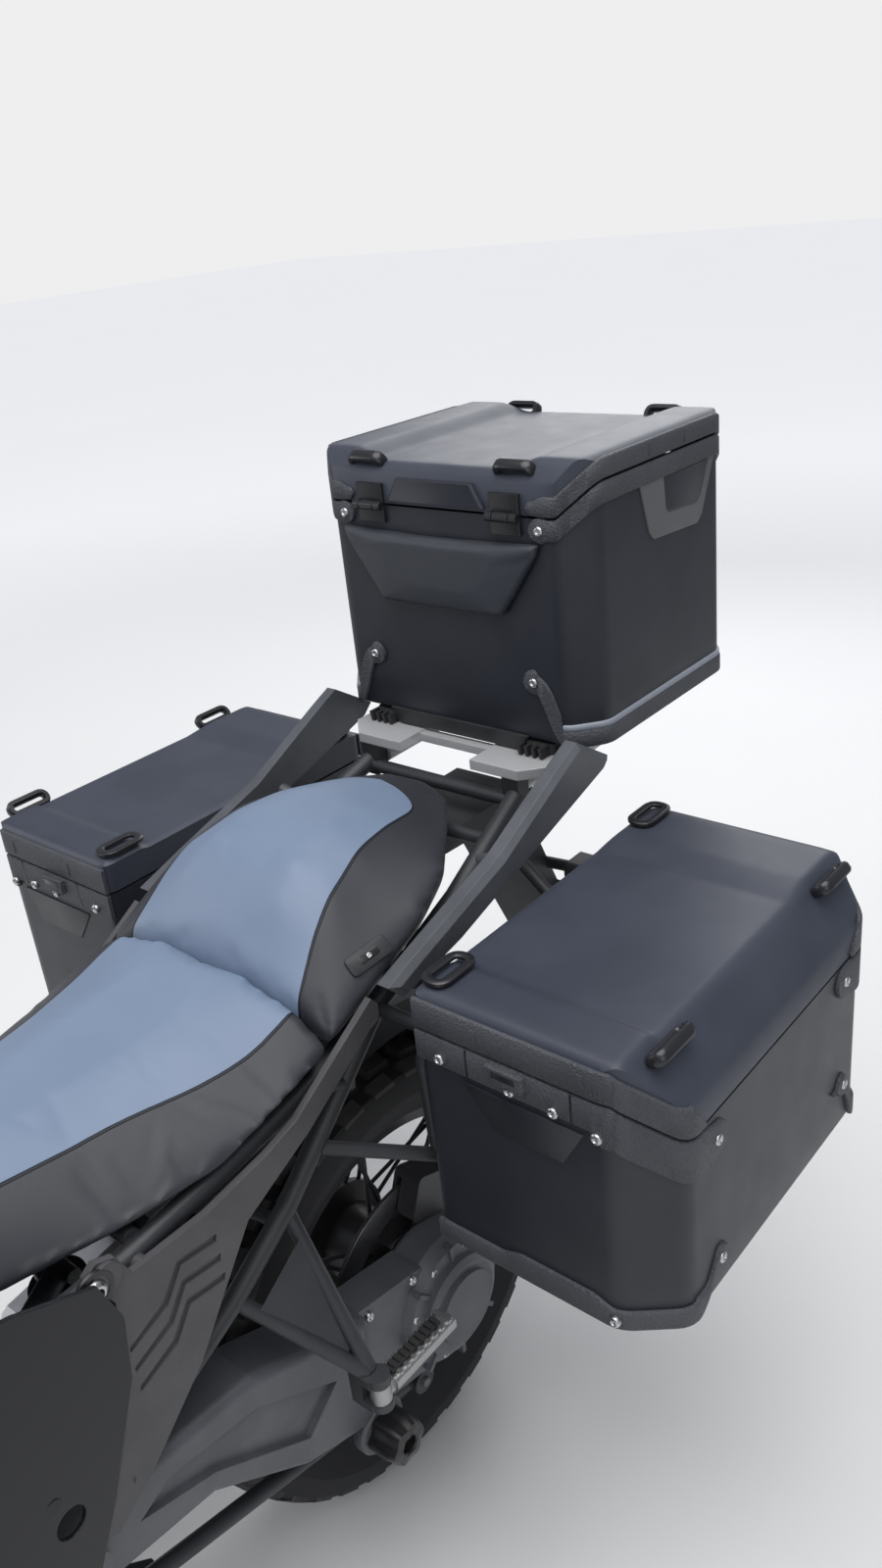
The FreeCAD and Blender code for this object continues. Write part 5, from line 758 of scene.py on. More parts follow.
def side_rims(side, label, end, way, tab, foot_tab):
    """The rims that wrap one end of a side case; tab and foot_tab are x and z of their bolts."""
    corner_x = SIDE[end]
    cut_x = corner_x - way * SIDE["cut_x"]
    tip = tab[0] - way * TIP_PAST_BOLT
    bent = rounded_outline([(corner_x, 0.10), (corner_x, SIDE_CORNER), (cut_x, SIDE["outer"]),
                            (tip - way * 0.4, SIDE["outer"])], SIDE_BEND)
    line = [Vector((corner_x, SIDE["inner"] + 0.002))]
    line += [p for p in bent if (p.x - tip) * way > 0 and p.y > 0.2] + [Vector((tip, SIDE["outer"]))]
    line = walked([Vector((p.x, side * p.y)) for p in line], 0.003)
    lid_line = [p for p in line if (p.x - (cut_x - way * LID_RIM_FADE)) * way > 0]

    def outside(p):
        return abs(p.y) > SIDE["outer"] - 0.0004

    def base_span(p):
        """Deeper from where the outer corner begins, with its tab on the outer side."""
        high = side_split(p.y) - SPLIT_LINE
        low = high - RIM_LOW - RIM_DEEPER * ramp(abs(p.y), *DEEPENS)
        if outside(p):
            return tab_span((tab[0] - p.x) * way, low, high, tab[1], SIDE_TAB_RADIUS, SIDE_TAB_REACH)
        return low, high

    def lid_span(p):
        """Running out to nothing along the seam."""
        low = side_split(p.y) + SPLIT_LINE
        fade = min(max((cut_x - p.x) * way / LID_RIM_FADE, 0), 1) ** 1.5 if outside(p) else 0
        return low, low + 0.001 + LID_RIM * (1 - fade)

    def foot_span(p):
        """The bottom corner, whose arm curves up to its own screw."""
        low = SIDE["floor"] - 0.001
        high = low + FOOT_RIM + FOOT_SWELL * (ramp(abs(p.y), *SWELLS) - ramp(abs(p.y), *THINS))
        if outside(p):
            low += FOOT_CLIMB * ramp((cut_x - p.x) * way, *CLIMBS)
            return tab_span((foot_tab[0] - p.x) * way, low, high + 0.004, foot_tab[1], FOOT_TAB_RADIUS,
                            SIDE_TAB_REACH)
        return low, high

    for kind, body, ridge, span in (("base", "root", line, base_span),
                                    ("lid", label + "_lid", lid_line, lid_span),
                                    ("foot", "root", line, foot_span)):
        rim_band("%s_%s_rim_%s" % (label, kind, end), body, ridge, [span(p) for p in ridge], side * way)


# y of the dividing lines of an end's rim, and y and z of the screws along it
RIM_JOINTS = (0.313, 0.434)
JOINT_Z = 0.832
TICK_Z = 0.868
TICK_ASIDE = 0.012
END_SCREWS = ((0.279, 0.8245), (0.364, 0.8225), (0.414, 0.820), (0.461, 0.812), (0.470, 0.590))
LATCH_Y = 0.362
LATCH_TAB = ((-0.022, -0.008), (-0.018, -0.011), (0.018, -0.011), (0.022, -0.008), (0.022, 0.009),
             (-0.022, 0.009))
# length, height, bar and depth of the flat eyes at the inner edge and of those that stand on the slope
FLAT_EYE = (0.062, 0.034, 0.010, 0.006)
SLOPE_EYE = (0.064, 0.026, 0.009, 0.012)


def end_fittings(side, label, end, way):
    """Joints and ticks of the rims at one end of a side case, its latch tab and its strap eyes."""
    lid = label + "_lid"
    face = SIDE[end] + way * RIM_PROUD
    out = (way, 0, 0)
    for index, y in enumerate(RIM_JOINTS):
        slab("%s_rim_joint_%s_%d" % (label, end, index), "root", loop_black,
             level_plate(0.001, 0.001, -0.0165, 0.0165), place(face, side * y, JOINT_Z), ACROSS, out,
             0.0004, 0.0002)
        slab("%s_lid_tick_%s_%d" % (label, end, index), lid, rim_plastic,
             level_plate(0.0035, 0.0035, -0.009, 0.009), place(face, side * (y + TICK_ASIDE), TICK_Z),
             ACROSS, out, 0.0008, 0.0006)
    slab("%s_latch_tab_%s" % (label, end), lid, rim_plastic, LATCH_TAB,
         place(face, side * LATCH_Y, 0.838), ACROSS, out, 0.006, 0.002)
    slab("%s_latch_slot_%s" % (label, end), lid, loop_black, level_plate(0.014, 0.014, -0.004, 0.003),
         place(face + way * 0.0052, side * LATCH_Y, 0.840), ACROSS, out, 0.0012, 0.0004)
    flat_place = place(SIDE[end] - way * 0.040, side * (SIDE["inner"] + 0.017), SIDE["top"] + 0.001)
    strap_loop("%s_inner_eye_%s" % (label, end), lid, flat_place, ALONG, ACROSS, *FLAT_EYE)
    slope = Vector((0, side * 0.76, 0.65))
    slope_place = place(SIDE[end] - way * 0.062, side * 0.497, SIDE["top"] - 0.012) + slope * 0.004
    strap_loop("%s_outer_eye_%s" % (label, end), lid, slope_place, ALONG, slope, *SLOPE_EYE)


def case_pair(plan, bend, label, lid_body, floor_z, split, roof, box_node, lid_node):
    """The box and the lid of one case, parted by the split line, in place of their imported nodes."""
    outline = [place(p.x, p.y, 0).xy for p in rounded_outline(plan, bend)]
    box = folded_box(label + "_box", outline, floor_z, lambda x, y: split(y) - SPLIT_LINE)
    lid = pressed_lid(label + "_lid", outline, lambda x, y: roof(x - AXLE_X, y),
                      lambda x, y: split(y) + SPLIT_LINE)
    fitted(box, case_sheet, "root", box_node)
    fitted(lid, lid_sheet, lid_body, lid_node)


# end, way along x, x and z of the base rim's bolt and of the bottom corner's
SIDE_ENDS = (("front", 1, (0.007, 0.774), (0.000, 0.621)), ("rear", -1, (-0.276, 0.782), (-0.282, 0.640)))
FRONT_PRESSING = ((0.303, 0.806), (0.445, 0.806), (0.420, 0.760), (0.337, 0.760))
CASE_SCREW = 0.0062
for side, label in SIDES:
    case_pair([(x, side * y) for x, y in SIDE_PLAN], SIDE_BEND, label + "_case", label + "_lid",
              SIDE["floor"], side_split, side_roof, "side_case_" + label, "side_lid_" + label)
    case_bolts = []
    for end, way, tab, foot_tab in SIDE_ENDS:
        side_rims(side, label, end, way, tab, foot_tab)
        for x, z in (tab, foot_tab):
            case_bolts.append((place(x, side * (SIDE["outer"] + 0.0022), z), (0, side, 0)))
        for y, z in END_SCREWS:
            case_bolts.append((place(SIDE[end] + way * RIM_PROUD, side * y, z), (way, 0, 0)))
        end_fittings(side, label, end, way)
    screws(label + "_case_screws", "root", case_bolts, CASE_SCREW)
    # the shallow shape pressed into the front
    slab(label + "_front_pressing", "root", case_sheet, FRONT_PRESSING, place(SIDE["front"], 0, 0),
         (0, side, 0), ALONG, 0.0018, 0.0018)


# Top case.
# The same sheet on a lower plate: four cut corners, a lid with raised left and right ends that opens
# forward on two black hinges, grained rims along both sides, and pressed grips under them.
TOP = {"front": -0.297, "rear": -0.642, "half": 0.203, "floor": 0.974, "split": 1.250, "top": 1.316,
       "cut_x": 0.038, "cut_y": 0.034, "rise": 0.036}
TOP_CORNER = TOP["half"] - TOP["cut_y"]
TOP_BEND = 0.012
TOP_SIDE = [(TOP["front"], TOP_CORNER), (TOP["front"] - TOP["cut_x"], TOP["half"]),
            (TOP["rear"] + TOP["cut_x"], TOP["half"]), (TOP["rear"], TOP_CORNER)]
# heights below the top of the lid's section along the motorcycle, and from its middle to its side
TOP_ALONG = ((-0.642, -0.034), (-0.640, -0.026), (-0.622, -0.002), (-0.616, 0), (-0.326, 0),
             (-0.318, -0.002), (-0.299, -0.026), (-0.297, -0.034))
TOP_ACROSS = ((0.0, -0.016), (0.106, -0.016), (0.138, 0), (0.190, 0), (0.197, -0.003), (0.203, -0.012))
# y and z of each rim's tab at the front and rear, its radius, its reach along the rim and its start
BASE_TAB = (0.149, 1.236, 0.0145, 0.014, 0.1346)
LID_TAB = (0.140, 1.2605, 0.008, 0.016, 0.132)
FOOT_TAB = (0.127, 1.052, 0.0155, 0.008, 0.1116)
FOOT_TAB_RISE = 0.066
TOP_BASE_RIM = 0.024
TOP_LID_RIM = 0.023
TOP_FOOT_RIM = 0.022
TOP_EYE = (0.056, 0.026, 0.009, 0.014)
# x and z of the grip's pressed frame and of the flat inside it
GRIP = ((-0.418, 1.262), (-0.436, 1.202), (-0.446, 1.192), (-0.548, 1.186), (-0.560, 1.194),
        (-0.592, 1.262))
GRIP_FLAT = ((-0.470, 1.260), (-0.474, 1.222), (-0.480, 1.216), (-0.548, 1.212), (-0.556, 1.220),
             (-0.576, 1.260))
TOP_TICKS = (-0.44, -0.52)
HINGE_Y = 0.103
HINGE_Z = 1.250
# the leaves' low and high edges, and the knuckles' starts and ends along the pin, each with its body
HINGE_LEAVES = (("upper", 1.2505, 1.276, "top_lid"), ("lower", 1.228, 1.2495, "root"))
KNUCKLES = ((-0.022, -0.012, "top_lid"), (-0.011, 0.011, "root"), (0.012, 0.022, "top_lid"))
pale_strip = polished("pale_strip", (60, 3, 0.2, 0.34), Base_Color=(0.24, 0.26, 0.3))
grip_grey = polished("grip_grey", (90, 3, 0.2, 0.4), Base_Color=(0.10, 0.10, 0.105))


def top_split(y):
    return TOP["split"] + TOP["rise"] * min(max((abs(y) - TOP_CORNER) / TOP["cut_y"], 0), 1)


def top_roof(x, y):
    depth = softened(TOP_ALONG, x, 0.004)
    across_drop = softened(TOP_ACROSS, abs(y), 0.005)
    return TOP["top"] + min(depth, across_drop) - 0.003 * math.exp(-abs(depth - across_drop) / 0.005)


def top_rim_line(side, start_y):
    """The line of a rim round one side of the top case, from its front to its rear."""
    half_plan = [(TOP["front"], 0.05)] + TOP_SIDE + [(TOP["rear"], 0.05)]
    bent = [p for p in rounded_outline(half_plan, TOP_BEND) if p.y > 0.1]
    ends = [Vector((TOP["front"], start_y))] + bent + [Vector((TOP["rear"], start_y))]
    return walked([Vector((p.x, side * p.y)) for p in ends], 0.0025)


def along_side(p):
    return TOP["rear"] + 0.0004 <= p.x <= TOP["front"] - 0.0004


def beside_tab(p, low, high, tab):
    """The edges of a rim at a point of its line, swelling to its round tab."""
    return tab_span(tab[0] - abs(p.y), low, high, *tab[1:4])


def base_rim_span(p):
    high = top_split(p.y) - SPLIT_LINE
    return beside_tab(p, high - TOP_BASE_RIM, high, BASE_TAB)


def lid_rim_span(p):
    low = top_split(p.y) + SPLIT_LINE
    return beside_tab(p, low, low + TOP_LID_RIM, LID_TAB)


def foot_rim_span(p):
    """Level along the side; at the front and rear it climbs to its own tab."""
    lowest = TOP["floor"] - 0.001
    if along_side(p):
        return lowest, lowest + TOP_FOOT_RIM
    lean = ramp(abs(p.y), FOOT_TAB[0], 0.176)
    wide = 0.013 * math.sin(math.pi * lean)
    climb = lowest + FOOT_TAB_RISE * (1 - lean)
    low, high = beside_tab(p, climb - wide, climb + TOP_FOOT_RIM + wide, FOOT_TAB)
    return max(low, lowest), high


case_pair(TOP_SIDE + [(x, -y) for x, y in reversed(TOP_SIDE)], TOP_BEND, "top", "top_lid", TOP["floor"],
          top_split, top_roof, "top_case", "top_case_lid")
top_bolts = []
for side, label in SIDES:
    for kind, body, tab, span in (("base", "root", BASE_TAB, base_rim_span),
                                  ("lid", "top_lid", LID_TAB, lid_rim_span),
                                  ("foot", "root", FOOT_TAB, foot_rim_span)):
        line = top_rim_line(side, tab[-1])
        rim_band("%s_top_%s_rim" % (label, kind), body, line, [span(p) for p in line], side)
    strip_line = [p for p in line if along_side(p)]
    strip_low = TOP["floor"] + 0.0204
    strip_span = (strip_low, strip_low + 0.0084)
    rim_band(label + "_top_pale_strip", "root", strip_line, [strip_span] * len(strip_line), side, 0.0028,
             pale_strip)
    slab(label + "_grip", "root", grip_grey, GRIP, place(0, side * TOP["half"], 0), ALONG, (0, side, 0),
         0.0022, 0.0016)
    slab(label + "_grip_flat", "root", case_sheet, GRIP_FLAT, place(0, side * (TOP["half"] + 0.0018), 0),
         ALONG, (0, side, 0), 0.001, 0.0008)
    for end, way in (("front", 1), ("rear", -1)):
        top_bolts += [(place(TOP[end] + way * 0.003, side * y, z), (way, 0, 0))
                      for y, z in (BASE_TAB[:2], FOOT_TAB[:2])]
        bevel = Vector((way * 0.62, 0, 0.78))
        eye_place = place(TOP[end] - way * 0.012, side * 0.112, TOP["top"] - 0.018) + bevel * 0.002
        strap_loop("%s_top_eye_%s" % (label, end), "top_lid", eye_place, ACROSS, bevel, *TOP_EYE)
    for x in TOP_TICKS:
        slab("%s_top_tick_%d" % (label, round(-x * 100)), "top_lid", rim_plastic,
             level_plate(0.0035, 0.0035, -0.008, 0.008), place(x, side * (TOP["half"] + RIM_PROUD), 1.2985),
             ALONG, (0, side, 0), 0.0006, 0.0004)
    for part, low, high, body in HINGE_LEAVES:
        slab("%s_hinge_%s" % (label, part), body, loop_black, level_plate(0.021, 0.021, low, high),
             place(TOP["front"], side * HINGE_Y, 0), ACROSS, ALONG, 0.0052, 0.0016)
    for start, end, body in KNUCKLES:
        long = end - start
        knuckle = turned("%s_knuckle_%d" % (label, round((start + 0.03) * 1000)),
                         ((0.0045, 0.0), (0.0058, 0.001), (0.0058, long - 0.001), (0.0045, long)),
                         place(-0.2875, side * HINGE_Y + start, HINGE_Z), ACROSS, 20)
        fitted(knuckle, loop_black, body)
screws("top_case_screws", "root", top_bolts, CASE_SCREW)
slab("lid_pressing", "top_lid", case_sheet, level_plate(0.074, 0.058, 1.256, 1.284),
     place(TOP["front"], 0, 0), ACROSS, ALONG, 0.0068, 0.005)
slab("top_latch", "top_lid", loop_black, level_plate(0.034, 0.034, 1.232, 1.274), place(TOP["rear"], 0, 0),
     ACROSS, (-1, 0, 0), 0.0068, 0.002)


# Seats and back pad.
# Stretched covers over foam: smooth blue vinyl on top, dark grained sides with their shade painted in,
# a sunk seam between them, and a firm dark pad on the front of the top case.
# place along the motorcycle and half width of the blue panel, from the tail to the tank
PANEL_WIDTHS = ((-0.150, -0.02), (-0.138, 0.040), (-0.128, 0.066), (-0.112, 0.079), (-0.060, 0.090),
                (-0.004, 0.097), (0.058, 0.115), (0.100, 0.121), (0.149, 0.138), (0.188, 0.141),
                (0.233, 0.137), (0.295, 0.122), (0.345, 0.106), (0.400, 0.098), (0.520, 0.084),
                (0.600, 0.072), (0.651, 0.062))
# reach of the smoothing of that line, which is shorter round the tail
PANEL_REACH = ((-0.12, 0.006), (-0.05, 0.03), (0.10, 0.03), (0.16, 0.02), (0.25, 0.04))
# how far each cover may swell, its voxels' size and rounds of smoothing
COVERS = {"rider_seat": (0.007, 0.006, 16), "pillion_seat": (0.007, 0.006, 16),
          "back_pad": (0.004, 0.004, 3)}
AIR_PRESSURE = 4.0
VINYL_STIFFNESS = 20
STEPS_TO_SETTLE = 20
UNDERSIDE = -0.45


def panel_half(x):
    return softened(PANEL_WIDTHS, x, through(PANEL_REACH, x))


def blown_up(cover, cap):
    """Cloth under air pressure over its fixed underside, which swells by the cap at most."""
    held = cover.vertex_groups.new(name="held")
    held.add([v.index for v in cover.data.vertices if v.normal.z < UNDERSIDE], 1.0, "REPLACE")
    start = np.array([v.co[:] for v in cover.data.vertices])
    cloth = cover.modifiers.new("cover", "CLOTH")
    cloth.settings.use_pressure = True
    cloth.settings.uniform_pressure_force = AIR_PRESSURE
    cloth.settings.vertex_group_mass = "held"
    cloth.settings.effector_weights.gravity = 0
    cloth.settings.tension_stiffness = VINYL_STIFFNESS
    cloth.settings.compression_stiffness = VINYL_STIFFNESS
    cloth.point_cache.frame_start = 1
    cloth.point_cache.frame_end = STEPS_TO_SETTLE
    for step in range(1, STEPS_TO_SETTLE + 1):
        bpy.context.scene.frame_set(step)
    settled(cover)
    moved = np.array([v.co[:] for v in cover.data.vertices]) - start
    length = np.linalg.norm(moved, axis=1, keepdims=True)
    moved *= np.minimum(1, cap / np.maximum(length, 1e-9))
    cover.data.vertices.foreach_set("co", (start + moved).ravel())
    bpy.context.scene.frame_set(1)


def upholstered(node):
    """The cover of a padded node, from the node's own closed and softened shape."""
    cap, voxel, rounds = COVERS[node]
    base = nodes[node].data.copy()
    base.transform(nodes[node].matrix_world)
    work = bmesh.new()
    work.from_mesh(base)
    bmesh.ops.remove_doubles(work, verts=work.verts, dist=1e-5)
    work.to_mesh(base)
    work.free()
    cover = new_object(node + "_cover", base)
    close = cover.modifiers.new("close", "REMESH")
    close.mode = "VOXEL"
    close.voxel_size = voxel
    soften = cover.modifiers.new("soften", "SMOOTH")
    soften.factor = 0.5
    soften.iterations = rounds
    settled(cover)
    blown_up(cover, cap)
    finer = cover.modifiers.new("finer", "SUBSURF")
    finer.levels = finer.render_levels = 1
    settled(cover).data.shade_smooth()
    return cover


blue_vinyl = Finish("seat_vinyl", Specular_IOR_Level=0.4)
inside_seam = blue_vinyl.node("ShaderNodeAttribute", {"attribute_name": "panel"}, {}, "Fac")
off_seam = abs(inside_seam).above(0.0012, 0.0016)
vinyl_cloud = blue_vinyl.noise(9, 4).above(0.5, 0.5)
top_colour = blue_vinyl.blend(vinyl_cloud, (0.150, 0.198, 0.285), (0.168, 0.218, 0.305))
# the sides' dark grey is partly their darker vinyl and partly the shade on the seat's sides, painted in
dark_shaded_side_colour = blue_vinyl.blend(vinyl_cloud, (0.026, 0.028, 0.034), (0.032, 0.034, 0.041))
seat_colour = blue_vinyl.blend(inside_seam.above(0.0, 0.0012), dark_shaded_side_colour, top_colour)
vinyl_grain = blue_vinyl.cells(850) * 0.6 + blue_vinyl.noise(500, 3) * 0.4
blue_vinyl.use(Base_Color=blue_vinyl.blend(off_seam, (0.012, 0.013, 0.017), seat_colour),
               Roughness=vinyl_grain * 0.12 + 0.42)
blue_vinyl.relief(off_seam * 4 + vinyl_grain * 0.14, 0.0006)
pad_vinyl = Finish("pad_vinyl", Base_Color=(0.03, 0.034, 0.043))
pad_grain = pad_vinyl.cells(700)
pad_vinyl.use(Roughness=pad_grain * 0.15 + 0.42).relief(pad_grain, 0.00025)
for name, vinyl in (("rider_seat", blue_vinyl), ("pillion_seat", blue_vinyl), ("back_pad", pad_vinyl)):
    cover = upholstered(name)
    if vinyl == blue_vinyl:
        # how far each point lies inside the blue panel's seam
        marks = cover.data.attributes.new("panel", "FLOAT", "POINT")
        inside = [panel_half(v.co.x - AXLE_X) - abs(v.co.y) for v in cover.data.vertices]
        marks.data.foreach_set("value", inside)
    fitted(cover, vinyl, "root", name)


# Wheels and tyres.
# Black rims laced with crossed steel spokes, each carrying a tubeless tyre with square blocks: a
# centre pair, a side row and a shoulder row, cut across the crown and repeated round the tread.
# the carcass is the tread's rubber painted darker: painted shade in the grooves between the blocks
carcass_rubber_painted_shade = polished("carcass_rubber_painted_shade", (50, 3, 0.1, 0.8), Base_Color=(0.012, 0.012, 0.013))
tyre_rubber = polished("tyre_rubber", (60, 3, 0.2, 0.66), (900, 3, 0.00015), Specular_IOR_Level=0.3)
tyre_dust = tyre_rubber.noise(35, 5).above(0.55, 0.3)
tyre_rubber.use(Base_Color=tyre_rubber.blend(tyre_dust, (0.030, 0.030, 0.031), (0.05, 0.049, 0.047)))
TREAD_DEPTH = 0.010
TREAD_ROOT = 0.004
TREAD_SLANT = 0.18
BLOCK_TAPER = 0.04
# the crown's width and its drop to the shoulder, as shares of the half width, and the drop's curve
CROWN_WIDTH = 0.9
CROWN_DROP = 0.24
CROWN_POWER = 2.2
# start and end across, as shares of the half width, and start and end along, as shares of the pitch
TREAD_BLOCKS = ((0.045, 0.31, 0.05, 0.74), (0.39, 0.65, 0.42, 1.12), (0.73, 0.95, 0.08, 0.76))
BLOCK_FACES = ((0, 1, 2, 3), (4, 5, 6, 7), (0, 1, 5, 4), (1, 2, 6, 5), (2, 3, 7, 6), (3, 0, 4, 7))
tread_tree, given, result = tree_with("repeat_tread", {"Pitches": "Int", "Hub": "Vector"})
centres = step_in(tread_tree, "GeometryNodePoints", {"Count": given["Pitches"], "Position": given["Hub"]})
which = step_in(tread_tree, "GeometryNodeInputIndex", {})
share = step_in(tread_tree, "ShaderNodeMath", {0: which[0], 1: given["Pitches"]}, operation="DIVIDE")
angle = step_in(tread_tree, "ShaderNodeMath", {0: share[0], 1: 2 * math.pi}, operation="MULTIPLY")
about_axle = step_in(tread_tree, "ShaderNodeCombineXYZ", {"Y": angle[0]})
rotation = step_in(tread_tree, "FunctionNodeEulerToRotation", {0: about_axle[0]})
pitches_set = step_in(tread_tree, "GeometryNodeInstanceOnPoints",
                      {"Points": centres[0], "Instance": given["Geometry"], "Rotation": rotation[0]})
joined_tread = step_in(tread_tree, "GeometryNodeRealizeInstances", {0: pitches_set[0]})
coated_tread = step_in(tread_tree, "GeometryNodeSetMaterial",
                       {"Geometry": joined_tread[0], "Material": tyre_rubber.material})
tread_tree.links.new(coated_tread[0], result)


def tread_pitch(radius, half, pitches):
    """The blocks of one pitch of the tread: their points, with a foot ring and a top ring, and faces."""
    verts = []
    faces = []
    for side, shift in ((LEFT, 0), (RIGHT, 0.5)):
        for inner, outer, start, end in TREAD_BLOCKS:
            faces += [tuple(len(verts) + k for k in quad) for quad in BLOCK_FACES]
            for sunk, inset in ((TREAD_DEPTH + TREAD_ROOT, 0), (0, BLOCK_TAPER)):
                near = inner + inset / 2
                far = outer - inset / 2
                for across_share, along_share in ((near, start + inset), (far, start + inset),
                                                  (far, end - inset), (near, end - inset)):
                    drop = CROWN_DROP * half * min(across_share / CROWN_WIDTH, 1.04) ** CROWN_POWER
                    reach = radius - drop - sunk
                    turn_to = (along_share + shift + across_share * TREAD_SLANT) * 2 * math.pi / pitches
                    verts.append((reach * math.cos(turn_to), side * across_share * half,
                                  reach * math.sin(turn_to)))
    return verts, faces


def blocky_tyre(end, radius, bead, width, pitches):
    """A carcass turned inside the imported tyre's section, and its blocks up to the full radius."""
    node = end + "_tyre"
    body = end + "_wheel_body"
    low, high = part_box(node)
    hub = (low + high) / 2
    half = width / 2
    shoulder = radius - CROWN_DROP * half
    middle = (bead + 0.018 + shoulder) / 2 + 0.002
    wall = [(bead, -0.62 * half), (bead + 0.018, -0.80 * half), (middle, -half),
            (shoulder - 0.010, -0.955 * half), (shoulder - 0.002, -0.9 * half)]
    crown = [(radius - TREAD_DEPTH - CROWN_DROP * half * abs(s) ** CROWN_POWER, s * half * CROWN_WIDTH)
             for s in (-0.8, -0.6, -0.4, -0.2, 0, 0.2, 0.4, 0.6, 0.8)]
    seat = [(bead, 0.3 * half), (bead, -0.3 * half)]
    section = wall + crown + [(r, -y) for r, y in reversed(wall)] + seat + wall[:1]
    fitted(turned(end + "_carcass", section, hub, ACROSS, 120, closed=False), carcass_rubber_painted_shade, body, node)
    pitch = shown(end + "_tread", *tread_pitch(radius, half, pitches), sharp=20)
    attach(grown(pitch, tread_tree, {"Pitches": pitches, "Hub": tuple(hub)}), body)


blocky_tyre("rear", 0.318, 0.210, 0.170, 34)
blocky_tyre("front", 0.325, 0.233, 0.120, 36)
rim_black = powder_coat("rim_black", (0.02, 0.02, 0.022), 0.36, 1200, 0.00006, 0.0008, 0.2)
rim_black.cover("rear_wheel", "front_wheel")
polished("disc_steel", (220, 4, 0.25, 0.2), (500, 2, 0.00003, 0.0006), Base_Color=(0.42, 0.42, 0.43),
         Metallic=1.0).cover("front_discs", "rear_disc")
polished("brushed_steel", (140, 4, 0.25, 0.22), (420, 3, 0.00004, 0.0012), Base_Color=(0.45, 0.45, 0.46),
         Metallic=1.0).cover("exhaust", "front_axle")


# Carrier and luggage plates.
# A satin alloy carrier over the tail, four ribbed black pads, and the top case's lower plate on them.
polished("satin_alloy", (180, 3, 0.25, 0.32), (700, 2, 0.00008, 0.0018), Base_Color=(0.5, 0.5, 0.51),
         Metallic=0.35).cover("carrier_plate", "skid_plate")
grained_black = cast_paint("grained_black", (0.02, 0.021, 0.023), 0.52, 0.00022)
grained_black.cover("case_adapter", "inner_fender", "tail_unit", "handguards", "mirrors", "front_mudguard",
                    "instruments")


# Bodywork.
# Gloss black panels beside the tank, a grained trim with chevron grooves under the seat, and grey
# cast grab rails with sharp chamfers.
polished("gloss_black", (14, 3, 0.06, 0.1), (60, 2, 0.00004, 0.002), Base_Color=(0.008, 0.0085, 0.01),
         Specular_IOR_Level=0.3).cover("tank_panels")
cast_paint("trim_grey", (0.05, 0.049, 0.053), 0.44, 0.00018).cover("side_trims")
cast_paint("rail_grey", (0.06, 0.064, 0.072), 0.36, 0.00012).cover("grab_rails")
polished("body_paint", (20, 3, 0.06, 0.16), (50, 2, 0.00004, 0.002), Base_Color=(0.03, 0.038, 0.052),
         Coat_Weight=0.8).cover("fuel_tank", "front_fairing")


# Steering, lights and screen.
# Black anodised fork and bar, moulded guards, a clear lens over two round lamps and a tinted screen.
polished("anodised", (200, 3, 0.16, 0.26), (900, 2, 0.00003, 0.0012), Base_Color=(0.03, 0.031, 0.034),
         Metallic=0.6).cover("fork_upper", "fork_sliders", "handlebar")
cast_paint("caliper_black", (0.026, 0.026, 0.028), 0.4, 0.0001).cover("front_calipers", "rear_caliper")
polished("lamp_lens", (40, 2, 0.06, 0.05), Base_Color=(0.5, 0.52, 0.55), Coat_Weight=0.5).cover("headlight")
polished("clear_screen", (30, 2, 0.04, 0.03), Base_Color=(0.55, 0.6, 0.64), Alpha=0.35).cover("windscreen")


# Foot pegs.
# Steel pegs that fold on their brackets, under a worn and matt plating. The passenger's are folded
# up and carry a ribbed rubber, which then faces outwards.
peg_steel = polished("peg_steel", (260, 4, 0.3, 0.26), (380, 4, 0.0002, 0.0012),
                     Base_Color=(0.38, 0.38, 0.38), Metallic=1.0)
peg_steel.cover("passenger_peg_left", "passenger_peg_right", "rider_peg_left", "rider_peg_right")
soft_rubber = moulded("soft_rubber", (0.014, 0.014, 0.015), 0.62, 600, 0.00012)
PEG_PLACE = (0.2445, 0.4725)
PEG_RIBS = 9
RIB_PITCH = 0.0085
RIB_HEIGHT = 0.0045
RIB_GAP_HEIGHT = 0.002
rubber_outline = [(0.126, 0.0)]
for k in range(PEG_RIBS):
    x = 0.128 + RIB_PITCH * k
    rubber_outline += [(x, RIB_HEIGHT), (x + 0.0055, RIB_HEIGHT), (x + 0.0065, RIB_GAP_HEIGHT),
                       (x + 0.0078, RIB_GAP_HEIGHT)]
rubber_outline += [(0.206, RIB_GAP_HEIGHT), (0.206, 0.0)]
for side, label in SIDES:
    slab(label + "_peg_rubber", label + "_rear_peg", soft_rubber, rubber_outline,
         place(0, side * PEG_PLACE[0], PEG_PLACE[1]), ALONG, (0, side, 0), 0.011, 0.0008)


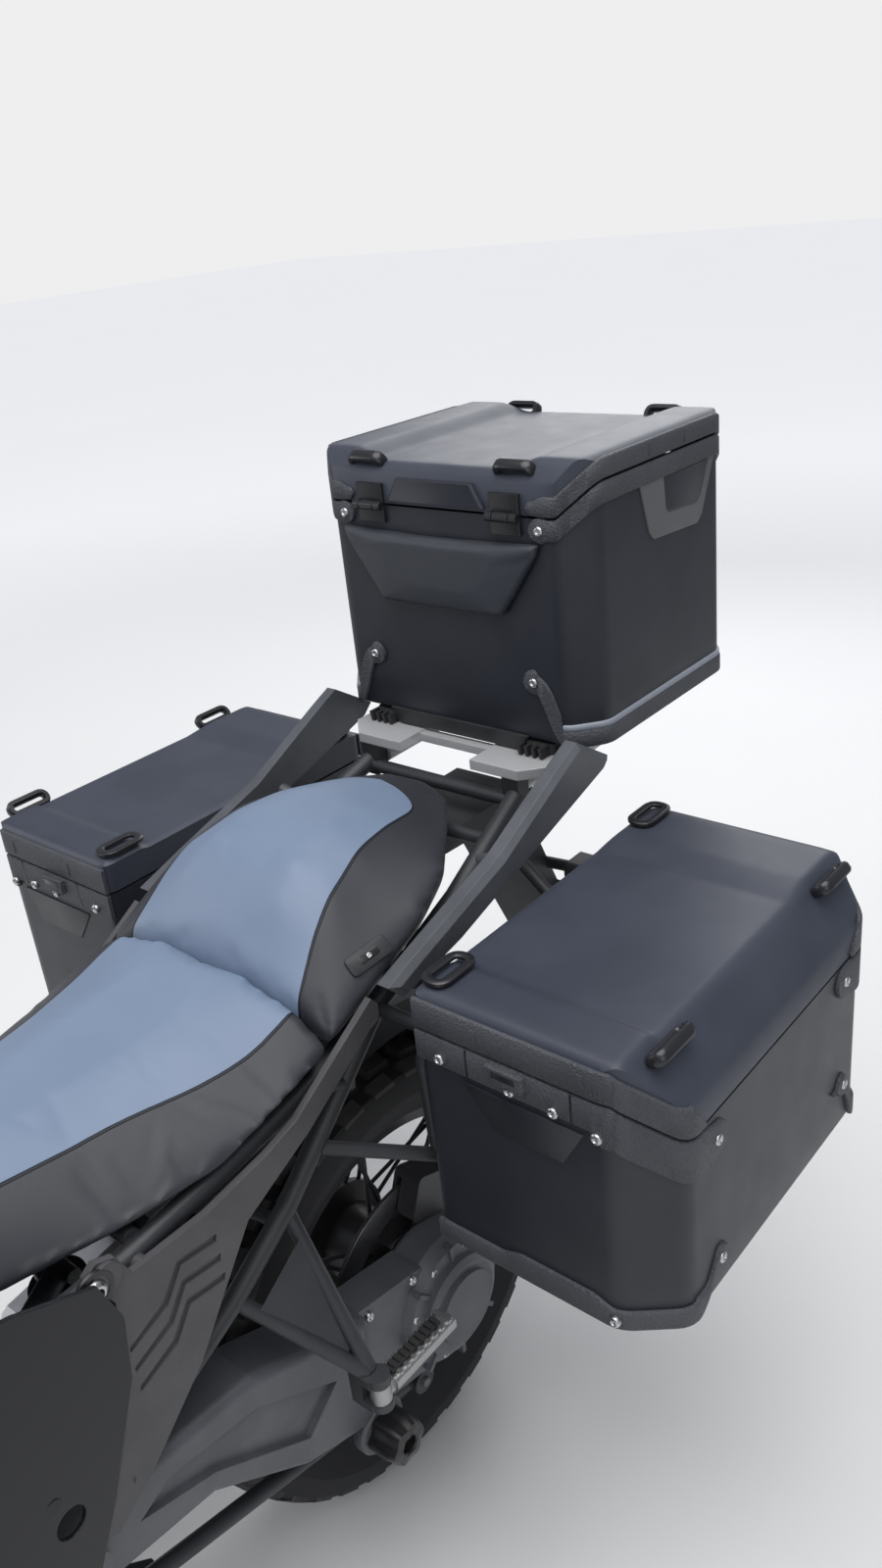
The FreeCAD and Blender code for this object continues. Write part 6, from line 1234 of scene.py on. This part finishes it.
# Small fittings round the passenger's place.
# The bolt and collar in each trim's boss, the ribs of the top case's feet on the carrier with a skirt
# before them, and the seat lock's plate, slot and barrel.
TRIM_BOSS = (0.463, 0.1925, 0.786)
BOSS_COLLAR = ((0.0195, 0.0), (0.0205, 0.002), (0.019, 0.004), (0.0145, 0.004), (0.0135, 0.001))
FOOT_X = (-0.298, -0.576)
FOOT_Y = 0.122
FOOT_RIBS = 4
FOOT_RIB_PITCH = 0.0105
FOOT_RIB = ((-0.017, 0.0), (0.014, 0.0), (0.017, 0.0145), (-0.017, 0.0145))
for side, label in SIDES:
    boss_x, boss_y, boss_z = TRIM_BOSS
    out = (0, side, 0)
    fitted(turned(label + "_boss_collar", BOSS_COLLAR, place(boss_x, side * boss_y, boss_z), out, 40),
           knob_black, "root")
    screws(label + "_rail_bolts", "root", [(place(boss_x, side * (boss_y + 0.0015), boss_z), out)], 0.0115)
    for x in FOOT_X:
        for k in range(FOOT_RIBS):
            y = side * FOOT_Y + (k - 1.5) * FOOT_RIB_PITCH - 0.0015
            slab("%s_foot_rib_%d_%d" % (label, round(-x * 1000), 2 * k), "root", soft_rubber, FOOT_RIB,
                 place(x, y, 0.9575), ALONG, ACROSS, 0.003, 0.0006)
slab("adapter_skirt", "root", grained_black, level_plate(0.1, 0.112, 0.0, 0.02), place(-0.3, 0, 0.9592),
     ACROSS, ALONG, 0.006, 0.001)
LOCK_X = 0.072
LOCK_Z = 0.889
LOCK_TILT = math.radians(20)
# the lock sits where a line from the left meets the seat's cover, and leans with it
seat_cover = bpy.data.objects["pillion_seat_cover"]
lock_at, lock_out = seat_cover.ray_cast(place(LOCK_X, 0.22, LOCK_Z), (0, -1, 0))[1:3]
level_way = Vector(UP).cross(lock_out).normalized()
tilted_way = level_way * math.cos(LOCK_TILT) + Vector(UP) * math.sin(LOCK_TILT)
lock_right = (tilted_way - lock_out * tilted_way.dot(lock_out)).normalized()
lock_up = lock_out.cross(lock_right)
# coat, half length, half height and corner of the plate and its slot, height over the seat and relief
for name, coat, half, high, corner, lift, thick, soft in (
        ("lock_plate", grained_black, 0.026, 0.011, 0.006, 0, 0.003, 0.001),
        ("lock_slot", knob_black, 0.013, 0.0045, 0.004, 0.0028, 0.0006, 0.0004)):
    slab(name, "root", coat, rounded_outline(level_plate(half, half, -high, high), corner, 4),
         lock_at + lock_out * lift, lock_right, lock_out, thick, soft, lock_up)
screws("lock_barrel", "root", [(lock_at + lock_out * 0.0034, lock_out)], 0.0035)


# The turned screw head is not needed once the screws are grown from it.
bpy.data.objects.remove(head)
